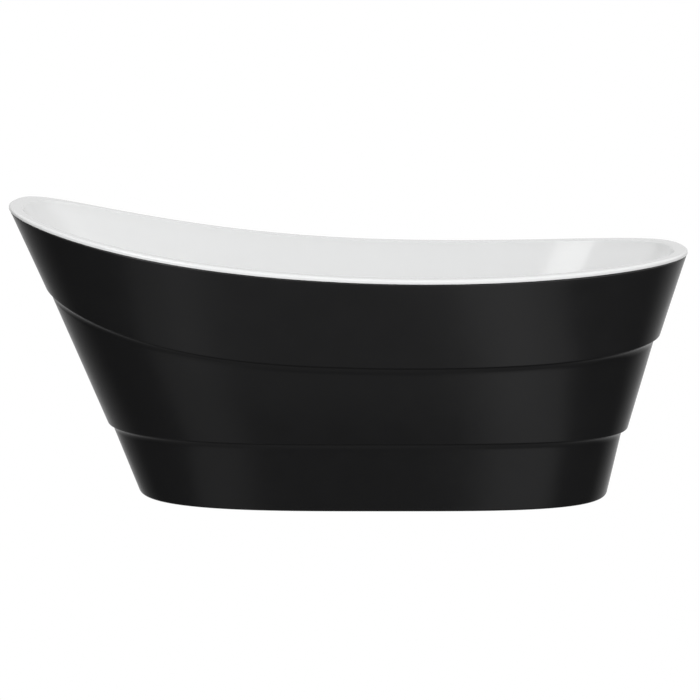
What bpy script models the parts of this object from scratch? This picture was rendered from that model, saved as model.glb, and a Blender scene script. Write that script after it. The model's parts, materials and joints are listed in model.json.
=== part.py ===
"""Freestanding slipper bathtub: stepped skirt, basin, frame, levelling feet, waste and overflow.

Metres, +Z up, +X towards the low foot end. The origin is on the floor under the middle of the rim.
"""
import math

import bmesh
import bpy
from mathutils import Matrix, Vector

# Overall sizes
LENGTH = 1.70
WIDTH = 0.80
HEIGHT = 0.737

# Clearances
GAP = 0.0003
RUNNING_GAP = 0.0008

# Fineness: points round the tub, rings in a curve of its section, and sides of the round hardware
AROUND = 48
STEP_RINGS = 3
COVE_RINGS = 4
SIDES = 24
SMALL_SIDES = 12

# The rim: its drop below the highest point, as Bezier control heights from head to foot
RIM_DROPS = (0.0, 0.145, 0.164, 0.165, 0.117)
RIM_WIDTH = 0.034
RIM_EDGE = 0.006
LIP_DEPTH = 0.011
BASIN_WALL = 0.005

# The skirt: two steps between three tiers. Step one sweeps with the rim and step two is level
SKIRT_WALL = 0.005
SKIRT_INSET = 0.0015
STEP_ONE_DROPS = (0.1451, 0.3735, 0.3883, 0.3416, 0.3994, 0.3039)
STEP_TWO_HEIGHT = 0.1788
STEP_INSET = 0.016
STEP_FALL = 0.020
SKIRT_EDGE = 0.009
FOOT_FLANGE = 0.024
RIM_FLANGE = 0.024

# The bond between basin and skirt
BOND_WIDTH = 0.012
BOND_INSET = 0.009

# The inside of the basin
FLOOR_HEIGHT = 0.135
FLOOR_FALL = 0.003
COVE = 0.080
COVE_SHARE = 0.22

# The drain
DRAIN_FROM_FOOT = 0.140
DRAIN_HOLE = 0.0265
RECESS_RADIUS = 0.042
RECESS_DEPTH = 0.003
FLANGE_RADIUS = 0.036
FLANGE_RISE = 0.003
SLEEVE_RADIUS = 0.024
SLEEVE_WALL = 0.0035
SLEEVE_LENGTH = 0.036
SEAL_RADIUS = 0.035
SEAL_THICKNESS = 0.0015
GASKET_RADIUS = 0.037
GASKET_THICKNESS = 0.003
BACK_NUT_RADIUS = 0.035
BACK_NUT_HEIGHT = 0.010
TEE_HEIGHT = 0.051
TEE_WALL = 0.005
INLET_RISE = 0.023
INLET_REACH = 0.055
TAIL_RADIUS = 0.0192
TAIL_WALL = 0.002
TAIL_CLEAR = 0.010
TAIL_NUT_HEIGHT = 0.015
STOPPER_LIFT = 0.010
STEM_RADIUS = 0.003
CAP_RADIUS = 0.0305
CAP_BOSS = 0.0115
BRIDGE_WIDTH = 0.004
BRIDGE_HEIGHT = 0.006
BRIDGE_UP = 0.014
HUB_RADIUS = 0.0075
CARTRIDGE_HEIGHT = 0.009

# The overflow
OVERFLOW_DROP = 0.125
OVERFLOW_HOLE = 0.026
OVERFLOW_RADIUS = 0.034
COVER_FACE = 0.0085
HOSE_RADIUS = 0.011
HOSE_WALL = 0.0015
HOSE_GRIP = 0.020
NECK_WALL = 0.0028
NECK_LENGTH = 0.058
HOSE_NUT_HEIGHT = 0.012
HOSE_NUT_RIM = 0.002

# The floor board and the frame
BOARD_THICKNESS = 0.012
BOARD_HALF_WIDTH = 0.150
BOARD_INSET = 0.030
BOARD_TO_DRAIN = 0.085
TUBE = 0.025
TUBE_WALL = 0.002
RAIL_INSET = 0.030
RAIL_END_INSET = 0.005
BAR_FROM_HEAD = 0.030
BAR_FROM_FOOT = 0.040
BAR_OVERHANG = 0.070
SCREW_SHANK = 0.0025
SCREW_HEAD = 0.0055
SCREW_BITE = 0.008

# The levelling feet
STUD_RADIUS = 0.006
NUT_ACROSS = 0.019
WELD_NUT_HEIGHT = 0.008
LOCK_NUT_HEIGHT = 0.006
PAD_RADIUS = 0.025
PAD_HEIGHT = 0.022
PAD_NECK = 0.012
PAD_SOCKET = 0.010
STUD_ABOVE_BAR = 0.008

# Levels worked out from the sizes above, top to bottom under the basin
RECESS_LEVEL = FLOOR_HEIGHT - RECESS_DEPTH
BOARD_TOP = FLOOR_HEIGHT - BASIN_WALL - GAP
BOARD_UNDER = BOARD_TOP - BOARD_THICKNESS
RAIL_TOP = BOARD_UNDER - GAP
RAIL_UNDER = RAIL_TOP - TUBE
BAR_TOP = RAIL_UNDER - GAP
BAR_UNDER = BAR_TOP - TUBE
FLANGE_UNDER = RECESS_LEVEL + SEAL_THICKNESS + 2 * GAP
SLEEVE_END = FLANGE_UNDER - SLEEVE_LENGTH
NUT_TOP = RECESS_LEVEL - BASIN_WALL - GASKET_THICKNESS - 2 * GAP
TEE_TOP = NUT_TOP - BACK_NUT_HEIGHT - GAP
TEE_UNDER = TEE_TOP - TEE_HEIGHT
TEE_BORE = TAIL_RADIUS + RUNNING_GAP
TEE_RADIUS = SLEEVE_RADIUS + RUNNING_GAP + TEE_WALL
INLET_LEVEL = TEE_UNDER + INLET_RISE
BRIDGE_UNDER = SLEEVE_END + BRIDGE_UP
NECK_RADIUS = HOSE_RADIUS + RUNNING_GAP + NECK_WALL
OVERFLOW_MOUTH = -(BASIN_WALL + GASKET_THICKNESS + 2 * GAP)
NECK_DEPTH = OVERFLOW_MOUTH - NECK_RADIUS

PARTS = "freestanding_bathtub"
CUTTERS = "cutters"


class Outline:
    """A closed outline in plan: two half superellipses that meet at the widest place."""

    def __init__(self, head, foot, widest, half_width, head_power, foot_power):
        self.head = head
        self.foot = foot
        self.widest = widest
        self.half_width = half_width
        self.head_power = head_power
        self.foot_power = foot_power

    def inset(self, distance):
        return Outline(
            self.head + distance,
            self.foot - distance,
            self.widest,
            self.half_width - distance,
            self.head_power,
            self.foot_power,
        )

    def ring(self, height):
        """Points round the outline, each at the height that the function gives for its x."""
        points = []
        flat_end = math.cos(math.pi / AROUND)
        for index in range(AROUND):
            turn = (index + 0.5) * math.tau / AROUND
            along = math.cos(turn) / flat_end
            across = math.sin(turn) / flat_end
            power = 2 / (self.foot_power if along > 0 else self.head_power)
            reach = self.foot - self.widest if along > 0 else self.widest - self.head
            x = self.widest + math.copysign(reach * abs(along) ** power, along)
            y = math.copysign(self.half_width * abs(across) ** power, across)
            points.append(Vector((x, y, height(x))))
        return points


HALF_LENGTH = LENGTH / 2
HALF_WIDTH = WIDTH / 2
RIM = Outline(-HALF_LENGTH, HALF_LENGTH, -0.057 * LENGTH, HALF_WIDTH, 2.74, 2.60)
STEP_ONE = Outline(
    0.0866 - HALF_LENGTH, HALF_LENGTH - 0.0692, -0.014, HALF_WIDTH - 0.0312, 3.2, 3.36
)
STEP_TWO = Outline(
    0.2266 - HALF_LENGTH, HALF_LENGTH - 0.1448, -0.02, HALF_WIDTH - 0.0714, 2.73, 3.98
)
BASE = Outline(
    0.306 - HALF_LENGTH, HALF_LENGTH - 0.190, 0.076, HALF_WIDTH - 0.107, 3.25, 3.7
)
# Where the straight walls of the basin would meet its floor
WALL_FOOT = Outline(
    0.430 - HALF_LENGTH, HALF_LENGTH - 0.290, 0.060, HALF_WIDTH - 0.150, 2.8, 3.0
)
FLOOR = WALL_FOOT.inset(COVE)

DRAIN_X = WALL_FOOT.foot - DRAIN_FROM_FOOT
BOARD_HEAD = FLOOR.head + BOARD_INSET
BOARD_FOOT = DRAIN_X - BOARD_TO_DRAIN
BOARD_LENGTH = BOARD_FOOT - BOARD_HEAD
BOARD_MIDDLE = (BOARD_HEAD + BOARD_FOOT) / 2
BAR_PLACES = {
    "head": BOARD_HEAD + BAR_FROM_HEAD,
    "middle": BOARD_MIDDLE,
    "foot": BOARD_FOOT - BAR_FROM_FOOT,
}
RAIL_Y = BOARD_HALF_WIDTH - RAIL_INSET


def sweep(drops, x):
    """Height at x of a line that sweeps from head to foot: a Bezier through drops below the top."""
    share = x / LENGTH + 0.5
    last = len(drops) - 1
    weights = [
        math.comb(last, index) * share**index * (1 - share) ** (last - index)
        for index in range(last + 1)
    ]
    return HEIGHT - sum(weight * drop for weight, drop in zip(weights, drops))


def rim_line(below=0.0):
    return lambda x: sweep(RIM_DROPS, x) - below


def step_one_line(below=0.0):
    return lambda x: sweep(STEP_ONE_DROPS, x) - below


def level(height):
    return lambda x: height


# Scene helpers


def clear_scene():
    for obj in list(bpy.data.objects):
        bpy.data.objects.remove(obj, do_unlink=True)
    for name in (PARTS, CUTTERS):
        collection = bpy.data.collections.new(name)
        bpy.context.scene.collection.children.link(collection)


def material(name, color, roughness, metallic=0.0):
    found = bpy.data.materials.get(name)
    if found:
        return found
    made = bpy.data.materials.new(name)
    made.use_nodes = True
    shader = made.node_tree.nodes["Principled BSDF"]
    shader.inputs["Base Color"].default_value = (*color, 1.0)
    shader.inputs["Roughness"].default_value = roughness
    shader.inputs["Metallic"].default_value = metallic
    return made


def white_acrylic():
    return material("white_acrylic", (0.86, 0.87, 0.87), 0.12)


def black_acrylic():
    return material("black_acrylic", (0.010, 0.010, 0.011), 0.32)


def adhesive():
    return material("adhesive", (0.62, 0.60, 0.52), 0.6)


def plywood():
    return material("plywood", (0.52, 0.36, 0.20), 0.7)


def galvanised_steel():
    return material("galvanised_steel", (0.55, 0.56, 0.57), 0.45, 1.0)


def zinc_steel():
    return material("zinc_steel", (0.62, 0.61, 0.58), 0.35, 1.0)


def black_plastic():
    return material("black_plastic", (0.02, 0.02, 0.02), 0.5)


def grey_plastic():
    return material("grey_plastic", (0.36, 0.37, 0.38), 0.5)


def chrome():
    return material("chrome", (0.80, 0.81, 0.82), 0.08, 1.0)


def black_rubber():
    return material("black_rubber", (0.03, 0.03, 0.03), 0.8)


def add_object(name, mesh, finish=None, place=(0, 0, 0), parent=None):
    """Puts a mesh in the parts collection, or with no finish in the cutters collection."""
    obj = bpy.data.objects.new(name, mesh)
    obj.location = place
    obj.parent = parent
    if finish:
        bpy.data.collections[PARTS].objects.link(obj)
        mesh.materials.append(finish)
        mesh.shade_smooth()
        mesh.set_sharp_from_angle(angle=math.radians(35))
    else:
        bpy.data.collections[CUTTERS].objects.link(obj)
        obj.hide_render = True
        obj.display_type = "WIRE"
    return obj


def add_frame(name, place, turn=0.0):
    """An empty that carries pieces; turn leans its Z axis over, about Y."""
    empty = bpy.data.objects.new(name, None)
    bpy.data.collections[PARTS].objects.link(empty)
    empty.location = place
    empty.rotation_euler.y = turn
    empty.empty_display_size = 0.03
    return empty


def boolean(obj, other, operation="DIFFERENCE"):
    modifier = obj.modifiers.new(other.name, "BOOLEAN")
    modifier.object = other
    modifier.operation = operation
    modifier.solver = "EXACT"


def thicken(obj, wall):
    """A wall inwards from an open surface."""
    solidify = obj.modifiers.new("wall", "SOLIDIFY")
    solidify.thickness = wall
    solidify.offset = -1
    solidify.use_even_offset = True
    solidify.use_quality_normals = True


def mesh_from(make):
    """A mesh from a function that fills a bmesh."""
    mesh = bpy.data.meshes.new("shape")
    form = bmesh.new()
    make(form)
    form.to_mesh(mesh)
    form.free()
    return mesh


def loft(rings, closed=False):
    """A skin over rings of equally many points. A closed loft joins the last ring to the first."""

    def make(form):
        rows = [[form.verts.new(point) for point in ring] for ring in rings]
        if closed:
            rows.append(rows[0])
        for upper, lower in zip(rows, rows[1:]):
            for index in range(len(upper)):
                after = (index + 1) % len(upper)
                form.faces.new((upper[index], lower[index], lower[after], upper[after]))

    return mesh_from(make)


def box(size, place=(0, 0, 0)):
    def make(form):
        matrix = Matrix.Translation(place) @ Matrix.Diagonal((*size, 1.0))
        bmesh.ops.create_cube(form, size=1.0, matrix=matrix)

    return mesh_from(make)


def rod(radius, low, high, sides=SIDES, axis="Z"):
    """A cylinder between two places along an axis through the origin."""

    def make(form):
        turn = Matrix.Rotation(math.radians(90), 4, "Y") if axis == "X" else Matrix()
        matrix = turn @ Matrix.Translation((0, 0, (low + high) / 2))
        bmesh.ops.create_cone(
            form,
            cap_ends=True,
            segments=sides,
            radius1=radius,
            radius2=radius,
            depth=high - low,
            matrix=matrix,
        )

    return mesh_from(make)


def turned(name, profile, finish, sides=SIDES, place=(0, 0, 0), parent=None, ring=True):
    """A turned piece. The profile of (radius, height) points runs down its outer side.

    A ring's profile is closed; otherwise it starts and ends on the axis.
    """

    def make(form):
        points = [form.verts.new((radius, 0, height)) for radius, height in profile]
        for first, second in zip(points, points[1:]):
            form.edges.new((first, second))
        if ring:
            form.edges.new((points[-1], points[0]))

    obj = add_object(name, mesh_from(make), finish, place, parent)
    screw = obj.modifiers.new("turn", "SCREW")
    screw.axis = "Z"
    screw.steps = sides
    screw.render_steps = sides
    screw.use_merge_vertices = True
    screw.merge_threshold = 0.00005
    screw.use_smooth_shade = False
    return obj


def bush(name, inner, outer, low, high, finish, sides=SIDES, place=(0, 0, 0), parent=None):
    """A plain round ring between two heights."""
    profile = [(outer, high), (outer, low), (inner, low), (inner, high)]
    return turned(name, profile, finish, sides, place, parent)


def hex_nut(name, bore, across, low, high, finish, place=(0, 0, 0), parent=None):
    """A hexagon nut: six flats outside, a round bore inside."""

    def around(height, reach):
        points = []
        for index in range(SMALL_SIDES):
            turn = index * math.tau / SMALL_SIDES
            radius = reach(index)
            points.append(
                Vector((radius * math.cos(turn), radius * math.sin(turn), height))
            )
        return points

    def flats(index):
        return across / 2 / (math.cos(math.radians(30)) if index % 2 == 0 else 1.0)

    def hole(index):
        return bore

    rings = [around(high, flats), around(low, flats), around(low, hole), around(high, hole)]
    return add_object(name, loft(rings, closed=True), finish, place, parent)


# Skirt and basin


def step_rings(outline, line):
    """The S-shaped ledge under a tier: from a corner in to the next tier down."""
    rings = []
    for index in range(STEP_RINGS + 1):
        share = index / STEP_RINGS
        ease = (1 - math.cos(math.pi * share)) / 2
        rings.append(outline.inset(STEP_INSET * ease).ring(line(STEP_FALL * share)))
    return rings


def make_skirt():
    """One stepped shell, from the flange under the rim to the flange on the floor."""
    top = LIP_DEPTH + 2 * GAP
    rim = RIM.inset(SKIRT_INSET)
    rings = [
        RIM.inset(RIM_FLANGE).ring(rim_line(top)),
        rim.inset(0.006).ring(rim_line(top)),
        rim.inset(0.0015).ring(rim_line(top + 0.0015)),
        rim.ring(rim_line(top + 0.006)),
    ]
    rings += step_rings(STEP_ONE, step_one_line)
    rings += step_rings(STEP_TWO, lambda below: level(STEP_TWO_HEIGHT - below))
    for degrees in (0, 45, 90):
        turn = math.radians(degrees)
        inset = SKIRT_EDGE * (1 - math.cos(turn))
        height = SKIRT_EDGE * (1 - math.sin(turn))
        rings.append(BASE.inset(inset).ring(level(height)))
    rings.append(BASE.inset(FOOT_FLANGE).ring(level(0)))
    skirt = add_object("outer_skirt", loft(rings), black_acrylic())
    thicken(skirt, SKIRT_WALL)


def disc_ring(radius, height):
    """A circle round the drain, with its points in step with the outlines."""
    points = []
    for index in range(AROUND):
        turn = (index + 0.5) * math.tau / AROUND
        x = DRAIN_X + radius * math.cos(turn)
        points.append(Vector((x, radius * math.sin(turn), height)))
    return points


def blend_rings(first, second, share):
    return [a.lerp(b, share) for a, b in zip(first, second)]


def basin_wall(share):
    """The ring at this share of the way down the straight wall of the basin."""
    top = RIM.inset(RIM_WIDTH).ring(rim_line(RIM_EDGE))
    return blend_rings(top, WALL_FOOT.ring(level(FLOOR_HEIGHT)), share)


def basin_rings():
    """From the drain hole out over the floor, up the walls and over the rim to the lip."""
    floor = FLOOR.ring(level(FLOOR_HEIGHT + FLOOR_FALL))
    rings = [
        disc_ring(DRAIN_HOLE, RECESS_LEVEL),
        disc_ring(RECESS_RADIUS, RECESS_LEVEL),
        disc_ring(RECESS_RADIUS + RECESS_DEPTH, FLOOR_HEIGHT),
    ]
    corner = WALL_FOOT.ring(level(FLOOR_HEIGHT + FLOOR_FALL))
    wall_end = basin_wall(1 - COVE_SHARE)
    for index in range(COVE_RINGS + 1):
        share = index / COVE_RINGS
        near = blend_rings(floor, corner, share)
        far = blend_rings(corner, wall_end, share)
        rings.append(blend_rings(near, far, share))
    rings.append(basin_wall((1 - COVE_SHARE) / 2))
    for degrees in (0, 45, 90):
        turn = math.radians(degrees)
        inset = RIM_WIDTH - RIM_EDGE * (1 - math.cos(turn))
        rings.append(RIM.inset(inset).ring(rim_line(RIM_EDGE * (1 - math.sin(turn)))))
    for degrees in (90, 45, 0):
        turn = math.radians(degrees)
        inset = RIM_EDGE * (1 - math.cos(turn))
        rings.append(RIM.inset(inset).ring(rim_line(RIM_EDGE * (1 - math.sin(turn)))))
    rings.append(RIM.ring(rim_line(LIP_DEPTH)))
    return rings


def overflow_share():
    """How far down the foot wall the overflow sits."""
    top = basin_wall(0)[0].z
    return (OVERFLOW_DROP - RIM_EDGE) / (top - FLOOR_HEIGHT)


def overflow_place():
    """The overflow's centre on the foot wall, and how far its axis leans over from upright."""
    high, middle, low = (basin_wall(overflow_share() + step)[0] for step in (-0.1, 0, 0.1))
    slope = math.atan2(high.x - low.x, high.z - low.z)
    return Vector((middle.x, 0, middle.z)), slope - math.radians(90)


def make_basin(overflow):
    basin = add_object("basin", loft(basin_rings()), white_acrylic())
    thicken(basin, BASIN_WALL)
    hole = rod(OVERFLOW_HOLE, -4 * BASIN_WALL, 4 * BASIN_WALL)
    boolean(basin, add_object("overflow_hole", hole, parent=overflow))


def make_bond():
    """The bead of adhesive between the rim and the skirt's top flange."""
    outer = RIM.inset(BOND_INSET)
    inner = RIM.inset(BOND_INSET + BOND_WIDTH)
    high = BASIN_WALL + 3 * GAP
    low = LIP_DEPTH + GAP
    rings = [
        outer.ring(rim_line(high)),
        outer.ring(rim_line(low)),
        inner.ring(rim_line(low)),
        inner.ring(rim_line(high)),
    ]
    add_object("rim_bond", loft(rings, closed=True), adhesive())


# Floor board and frame


def screw_places():
    """Where the wood screws go, as (name, x, y): two a rail, clear of the crossbars."""
    places = []
    for side, y in (("front", -RAIL_Y), ("back", RAIL_Y)):
        for end in ("head", "foot"):
            x = (BAR_PLACES[end] + BAR_PLACES["middle"]) / 2
            places.append((f"{side}_{end}", x, y))
    return places


def foot_places():
    """Where the levelling feet stand, as (name, bar, x, y)."""
    reach = BOARD_HALF_WIDTH + BAR_OVERHANG - TUBE
    places = []
    for bar in ("head", "foot"):
        for side, y in (("front", -reach), ("back", reach)):
            places.append((f"{bar}_{side}", bar, BAR_PLACES[bar], y))
    places.append(("middle", "middle", BAR_PLACES["middle"], 0.0))
    return places


def cut_round(obj, name, radius, low, high, place):
    boolean(obj, add_object(name, rod(radius, low, high, SMALL_SIDES), place=place))


def make_board():
    size = (BOARD_LENGTH, 2 * BOARD_HALF_WIDTH, BOARD_THICKNESS)
    middle = (BOARD_MIDDLE, 0, (BOARD_TOP + BOARD_UNDER) / 2)
    board = add_object("floor_board", box(size), plywood(), middle)
    for name, x, y in screw_places():
        pilot = SCREW_SHANK + RUNNING_GAP
        high = SCREW_BITE + RUNNING_GAP
        cut_round(board, f"pilot_{name}", pilot, -TUBE / 4, high, (x, y, BOARD_UNDER))


def square_tube(name, length, along, place):
    """A square steel tube with open ends along X or Y."""
    half = TUBE / 2
    corners = [(-half, -half), (half, -half), (half, half), (-half, half)]
    rings = []
    for end in (-length / 2, length / 2):
        if along == "X":
            rings.append([Vector((end, a, b)) for a, b in corners])
        else:
            rings.append([Vector((b, end, a)) for a, b in corners])
    tube = add_object(name, loft(reversed(rings)), galvanised_steel(), place)
    thicken(tube, TUBE_WALL)
    return tube


def make_frame():
    rail_length = BOARD_LENGTH - 2 * RAIL_END_INSET
    for side, y in (("front", -RAIL_Y), ("back", RAIL_Y)):
        place = (BOARD_MIDDLE, y, RAIL_TOP - TUBE / 2)
        rail = square_tube(f"frame_rail_{side}", rail_length, "X", place)
        for name, x, screw_y in screw_places():
            if screw_y == y:
                bore = SCREW_SHANK + RUNNING_GAP
                spot = (x, y, RAIL_UNDER)
                cut_round(rail, f"rail_hole_{name}", bore, -TUBE / 4, 1.25 * TUBE, spot)
    for bar, x in BAR_PLACES.items():
        reach = RAIL_Y + TUBE if bar == "middle" else BOARD_HALF_WIDTH + BAR_OVERHANG
        tube = square_tube(f"crossbar_{bar}", 2 * reach, "Y", (x, 0, BAR_TOP - TUBE / 2))
        for name, on_bar, foot_x, foot_y in foot_places():
            if on_bar == bar:
                bore = STUD_RADIUS + RUNNING_GAP
                spot = (foot_x, foot_y, BAR_UNDER)
                cut_round(tube, f"bar_hole_{name}", bore, -TUBE / 4, 1.25 * TUBE, spot)


def make_frame_screws():
    length = TUBE + GAP + SCREW_BITE
    for name, x, y in screw_places():
        profile = [
            (0, length),
            (SCREW_SHANK, length - 0.003),
            (SCREW_SHANK, -GAP),
            (SCREW_HEAD, -GAP),
            (SCREW_HEAD, -0.0025),
            (0.6 * SCREW_HEAD, -0.004),
            (0, -0.004),
        ]
        place = (x, y, RAIL_UNDER)
        turned(f"frame_screw_{name}", profile, zinc_steel(), SMALL_SIDES, place, ring=False)


def make_feet():
    weld_top = BAR_UNDER - GAP
    lock_top = weld_top - WELD_NUT_HEIGHT - GAP
    bore = STUD_RADIUS + RUNNING_GAP
    for name, bar, x, y in foot_places():
        place = (x, y, 0)
        hex_nut(
            f"weld_nut_{name}",
            bore,
            NUT_ACROSS,
            weld_top - WELD_NUT_HEIGHT,
            weld_top,
            zinc_steel(),
            place,
        )
        hex_nut(
            f"lock_nut_{name}",
            bore,
            NUT_ACROSS,
            lock_top - LOCK_NUT_HEIGHT,
            lock_top,
            zinc_steel(),
            place,
        )
        stud_top = BAR_TOP + STUD_ABOVE_BAR
        stud = [
            (0, stud_top),
            (STUD_RADIUS - 0.001, stud_top),
            (STUD_RADIUS, stud_top - 0.001),
            (STUD_RADIUS, PAD_SOCKET + GAP),
            (0, PAD_SOCKET + GAP),
        ]
        turned(
            f"levelling_stud_{name}", stud, zinc_steel(), SMALL_SIDES, place, ring=False
        )
        pad = [
            (0, PAD_SOCKET),
            (bore, PAD_SOCKET),
            (bore, PAD_HEIGHT),
            (PAD_NECK, PAD_HEIGHT),
            (PAD_RADIUS - 0.003, 0.007),
            (PAD_RADIUS, 0.004),
            (PAD_RADIUS, 0),
            (0, 0),
        ]
        turned(f"foot_pad_{name}", pad, black_plastic(), SMALL_SIDES, place, ring=False)


# Waste


def make_drain_flange(drain):
    """The strainer flange: a dished rim, a threaded sleeve and a bridge with a hole for the stem."""
    inner = SLEEVE_RADIUS - SLEEVE_WALL
    profile = [
        (FLANGE_RADIUS - 0.002, FLANGE_UNDER + FLANGE_RISE),
        (FLANGE_RADIUS, FLANGE_UNDER + FLANGE_RISE / 2),
        (FLANGE_RADIUS, FLANGE_UNDER),
        (SLEEVE_RADIUS, FLANGE_UNDER),
        (SLEEVE_RADIUS, SLEEVE_END),
        (inner, SLEEVE_END),
        (inner, FLANGE_UNDER - 0.007),
        (SLEEVE_RADIUS + 0.002, FLANGE_UNDER + 0.0005),
    ]
    flange = turned("drain_flange", profile, chrome(), parent=drain)
    low = BRIDGE_UNDER
    high = low + BRIDGE_HEIGHT
    span = (2 * inner + SLEEVE_WALL, BRIDGE_WIDTH, BRIDGE_HEIGHT)
    bridge = box(span, (0, 0, (low + high) / 2))
    boolean(flange, add_object("bridge", bridge, parent=drain), "UNION")
    hub = rod(HUB_RADIUS, low, high, SMALL_SIDES)
    boolean(flange, add_object("hub", hub, parent=drain), "UNION")
    eye = rod(STEM_RADIUS + RUNNING_GAP, low - 0.004, high + 0.004, SMALL_SIDES)
    boolean(flange, add_object("hub_eye", eye, parent=drain))
    bush(
        "stopper_cartridge",
        STEM_RADIUS + RUNNING_GAP,
        HUB_RADIUS,
        high + GAP,
        high + CARTRIDGE_HEIGHT,
        black_plastic(),
        SMALL_SIDES,
        parent=drain,
    )


def make_stopper(drain):
    """The click stopper: cap, seal and stem, which lift together."""
    cap_under = FLANGE_UNDER + FLANGE_RISE + GAP
    boss_under = cap_under - 0.0058
    cap = [
        (0, cap_under + 0.0045),
        (0.72 * CAP_RADIUS, cap_under + 0.004),
        (0.95 * CAP_RADIUS, cap_under + 0.0022),
        (CAP_RADIUS, cap_under + 0.001),
        (CAP_RADIUS, cap_under),
        (0, cap_under),
    ]
    turned("stopper_cap", cap, chrome(), parent=drain, ring=False)
    seal = [
        (SLEEVE_RADIUS + 0.0005, cap_under - GAP),
        (SLEEVE_RADIUS - 0.0012, boss_under),
        (CAP_BOSS + GAP, boss_under),
        (CAP_BOSS + GAP, cap_under - GAP),
    ]
    turned("stopper_seal", seal, black_rubber(), parent=drain)
    stem_end = BRIDGE_UNDER - STOPPER_LIFT - 0.003
    stem = [
        (0, cap_under - GAP),
        (CAP_BOSS, cap_under - GAP),
        (CAP_BOSS, boss_under),
        (STEM_RADIUS, boss_under - 0.002),
        (STEM_RADIUS, stem_end),
        (0, stem_end),
    ]
    turned("stopper_stem", stem, zinc_steel(), SIDES, parent=drain, ring=False)


def make_waste(drain):
    bush(
        "drain_seal",
        DRAIN_HOLE + 0.001,
        SEAL_RADIUS,
        RECESS_LEVEL + GAP,
        FLANGE_UNDER - GAP,
        black_rubber(),
        parent=drain,
    )
    gasket_top = RECESS_LEVEL - BASIN_WALL - GAP
    bore = SLEEVE_RADIUS + RUNNING_GAP
    bush(
        "drain_gasket",
        bore,
        GASKET_RADIUS,
        gasket_top - GASKET_THICKNESS,
        gasket_top,
        black_rubber(),
        parent=drain,
    )
    bush(
        "drain_back_nut",
        bore,
        BACK_NUT_RADIUS,
        NUT_TOP - BACK_NUT_HEIGHT,
        NUT_TOP,
        black_plastic(),
        parent=drain,
    )
    tee = add_object(
        "waste_tee", rod(TEE_RADIUS, TEE_UNDER, TEE_TOP), black_plastic(), parent=drain
    )
    inlet = rod(NECK_RADIUS, TEE_RADIUS / 2, INLET_REACH, axis="X")
    level_up = (0, 0, INLET_LEVEL)
    boolean(tee, add_object("inlet", inlet, place=level_up, parent=drain), "UNION")
    socket = rod(bore, SLEEVE_END - GAP, TEE_TOP + 0.01)
    boolean(tee, add_object("tee_socket", socket, parent=drain))
    outlet = rod(TEE_BORE, TEE_UNDER - 0.01, TEE_TOP)
    boolean(tee, add_object("tee_outlet", outlet, parent=drain))
    side = rod(HOSE_RADIUS + RUNNING_GAP, 0, INLET_REACH + 0.01, axis="X")
    boolean(tee, add_object("tee_side", side, place=level_up, parent=drain))
    bush(
        "tailpiece",
        TAIL_RADIUS - TAIL_WALL,
        TAIL_RADIUS,
        TAIL_CLEAR,
        INLET_LEVEL - HOSE_RADIUS - 0.004,
        chrome(),
        parent=drain,
    )
    bush(
        "tailpiece_nut",
        TEE_BORE,
        TEE_RADIUS - 0.001,
        TEE_UNDER - GAP - TAIL_NUT_HEIGHT,
        TEE_UNDER - GAP,
        black_plastic(),
        parent=drain,
    )


# Overflow


def make_overflow(overflow):
    """Cover, screw, gasket and body, on the overflow's own axis. Its Z points into the basin."""
    behind = -(BASIN_WALL + GAP)
    bush(
        "overflow_gasket",
        OVERFLOW_HOLE + GAP,
        OVERFLOW_RADIUS,
        behind - GASKET_THICKNESS,
        behind,
        black_rubber(),
        parent=overflow,
    )
    cavity = OVERFLOW_HOLE - 0.001
    back = OVERFLOW_MOUTH - 2 * NECK_RADIUS
    cup = [
        (0, back + NECK_WALL),
        (cavity - 0.007, back + NECK_WALL),
        (cavity, OVERFLOW_MOUTH - 0.010),
        (cavity, OVERFLOW_MOUTH),
        (OVERFLOW_RADIUS, OVERFLOW_MOUTH),
        (OVERFLOW_RADIUS, OVERFLOW_MOUTH - 0.008),
        (OVERFLOW_RADIUS - 0.010, back),
        (0, back),
    ]
    body = turned("overflow_body", cup, black_plastic(), parent=overflow, ring=False)
    on_neck = (0, 0, NECK_DEPTH)
    neck = rod(NECK_RADIUS, -NECK_LENGTH, -cavity, axis="X")
    boolean(body, add_object("neck", neck, place=on_neck, parent=overflow), "UNION")
    bore = rod(HOSE_RADIUS + RUNNING_GAP, -NECK_LENGTH - 0.01, -cavity / 2, axis="X")
    boolean(body, add_object("neck_bore", bore, place=on_neck, parent=overflow))
    bar_depth = 0.006
    bar = box((0.009, 2 * cavity + 0.004, bar_depth), (0, 0, OVERFLOW_MOUTH - 0.004))
    boolean(body, add_object("screw_bar", bar, parent=overflow), "UNION")
    thread = rod(
        SCREW_SHANK + RUNNING_GAP, OVERFLOW_MOUTH - 2 * bar_depth, OVERFLOW_MOUTH, SMALL_SIDES
    )
    boolean(body, add_object("screw_thread", thread, parent=overflow))
    eye = SCREW_SHANK + RUNNING_GAP
    cover = [
        (eye, COVER_FACE),
        (0.75 * OVERFLOW_RADIUS, COVER_FACE - GAP),
        (OVERFLOW_RADIUS - 0.0015, COVER_FACE - 0.002),
        (OVERFLOW_RADIUS, COVER_FACE - 0.0035),
        (OVERFLOW_RADIUS, COVER_FACE - 0.005),
        (OVERFLOW_RADIUS - 0.0025, COVER_FACE - 0.005),
        (OVERFLOW_RADIUS - 0.003, COVER_FACE - 0.0035),
        (eye, COVER_FACE - 0.0025),
    ]
    turned("overflow_cover", cover, chrome(), parent=overflow)
    head = COVER_FACE + GAP
    screw = [
        (0, head + 0.003),
        (0.0040, head + 0.003),
        (0.0052, head + 0.0018),
        (0.0052, head),
        (SCREW_SHANK, head),
        (SCREW_SHANK, OVERFLOW_MOUTH - 0.009),
        (0, OVERFLOW_MOUTH - 0.009),
    ]
    turned("overflow_screw", screw, chrome(), SMALL_SIDES, parent=overflow, ring=False)


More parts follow.
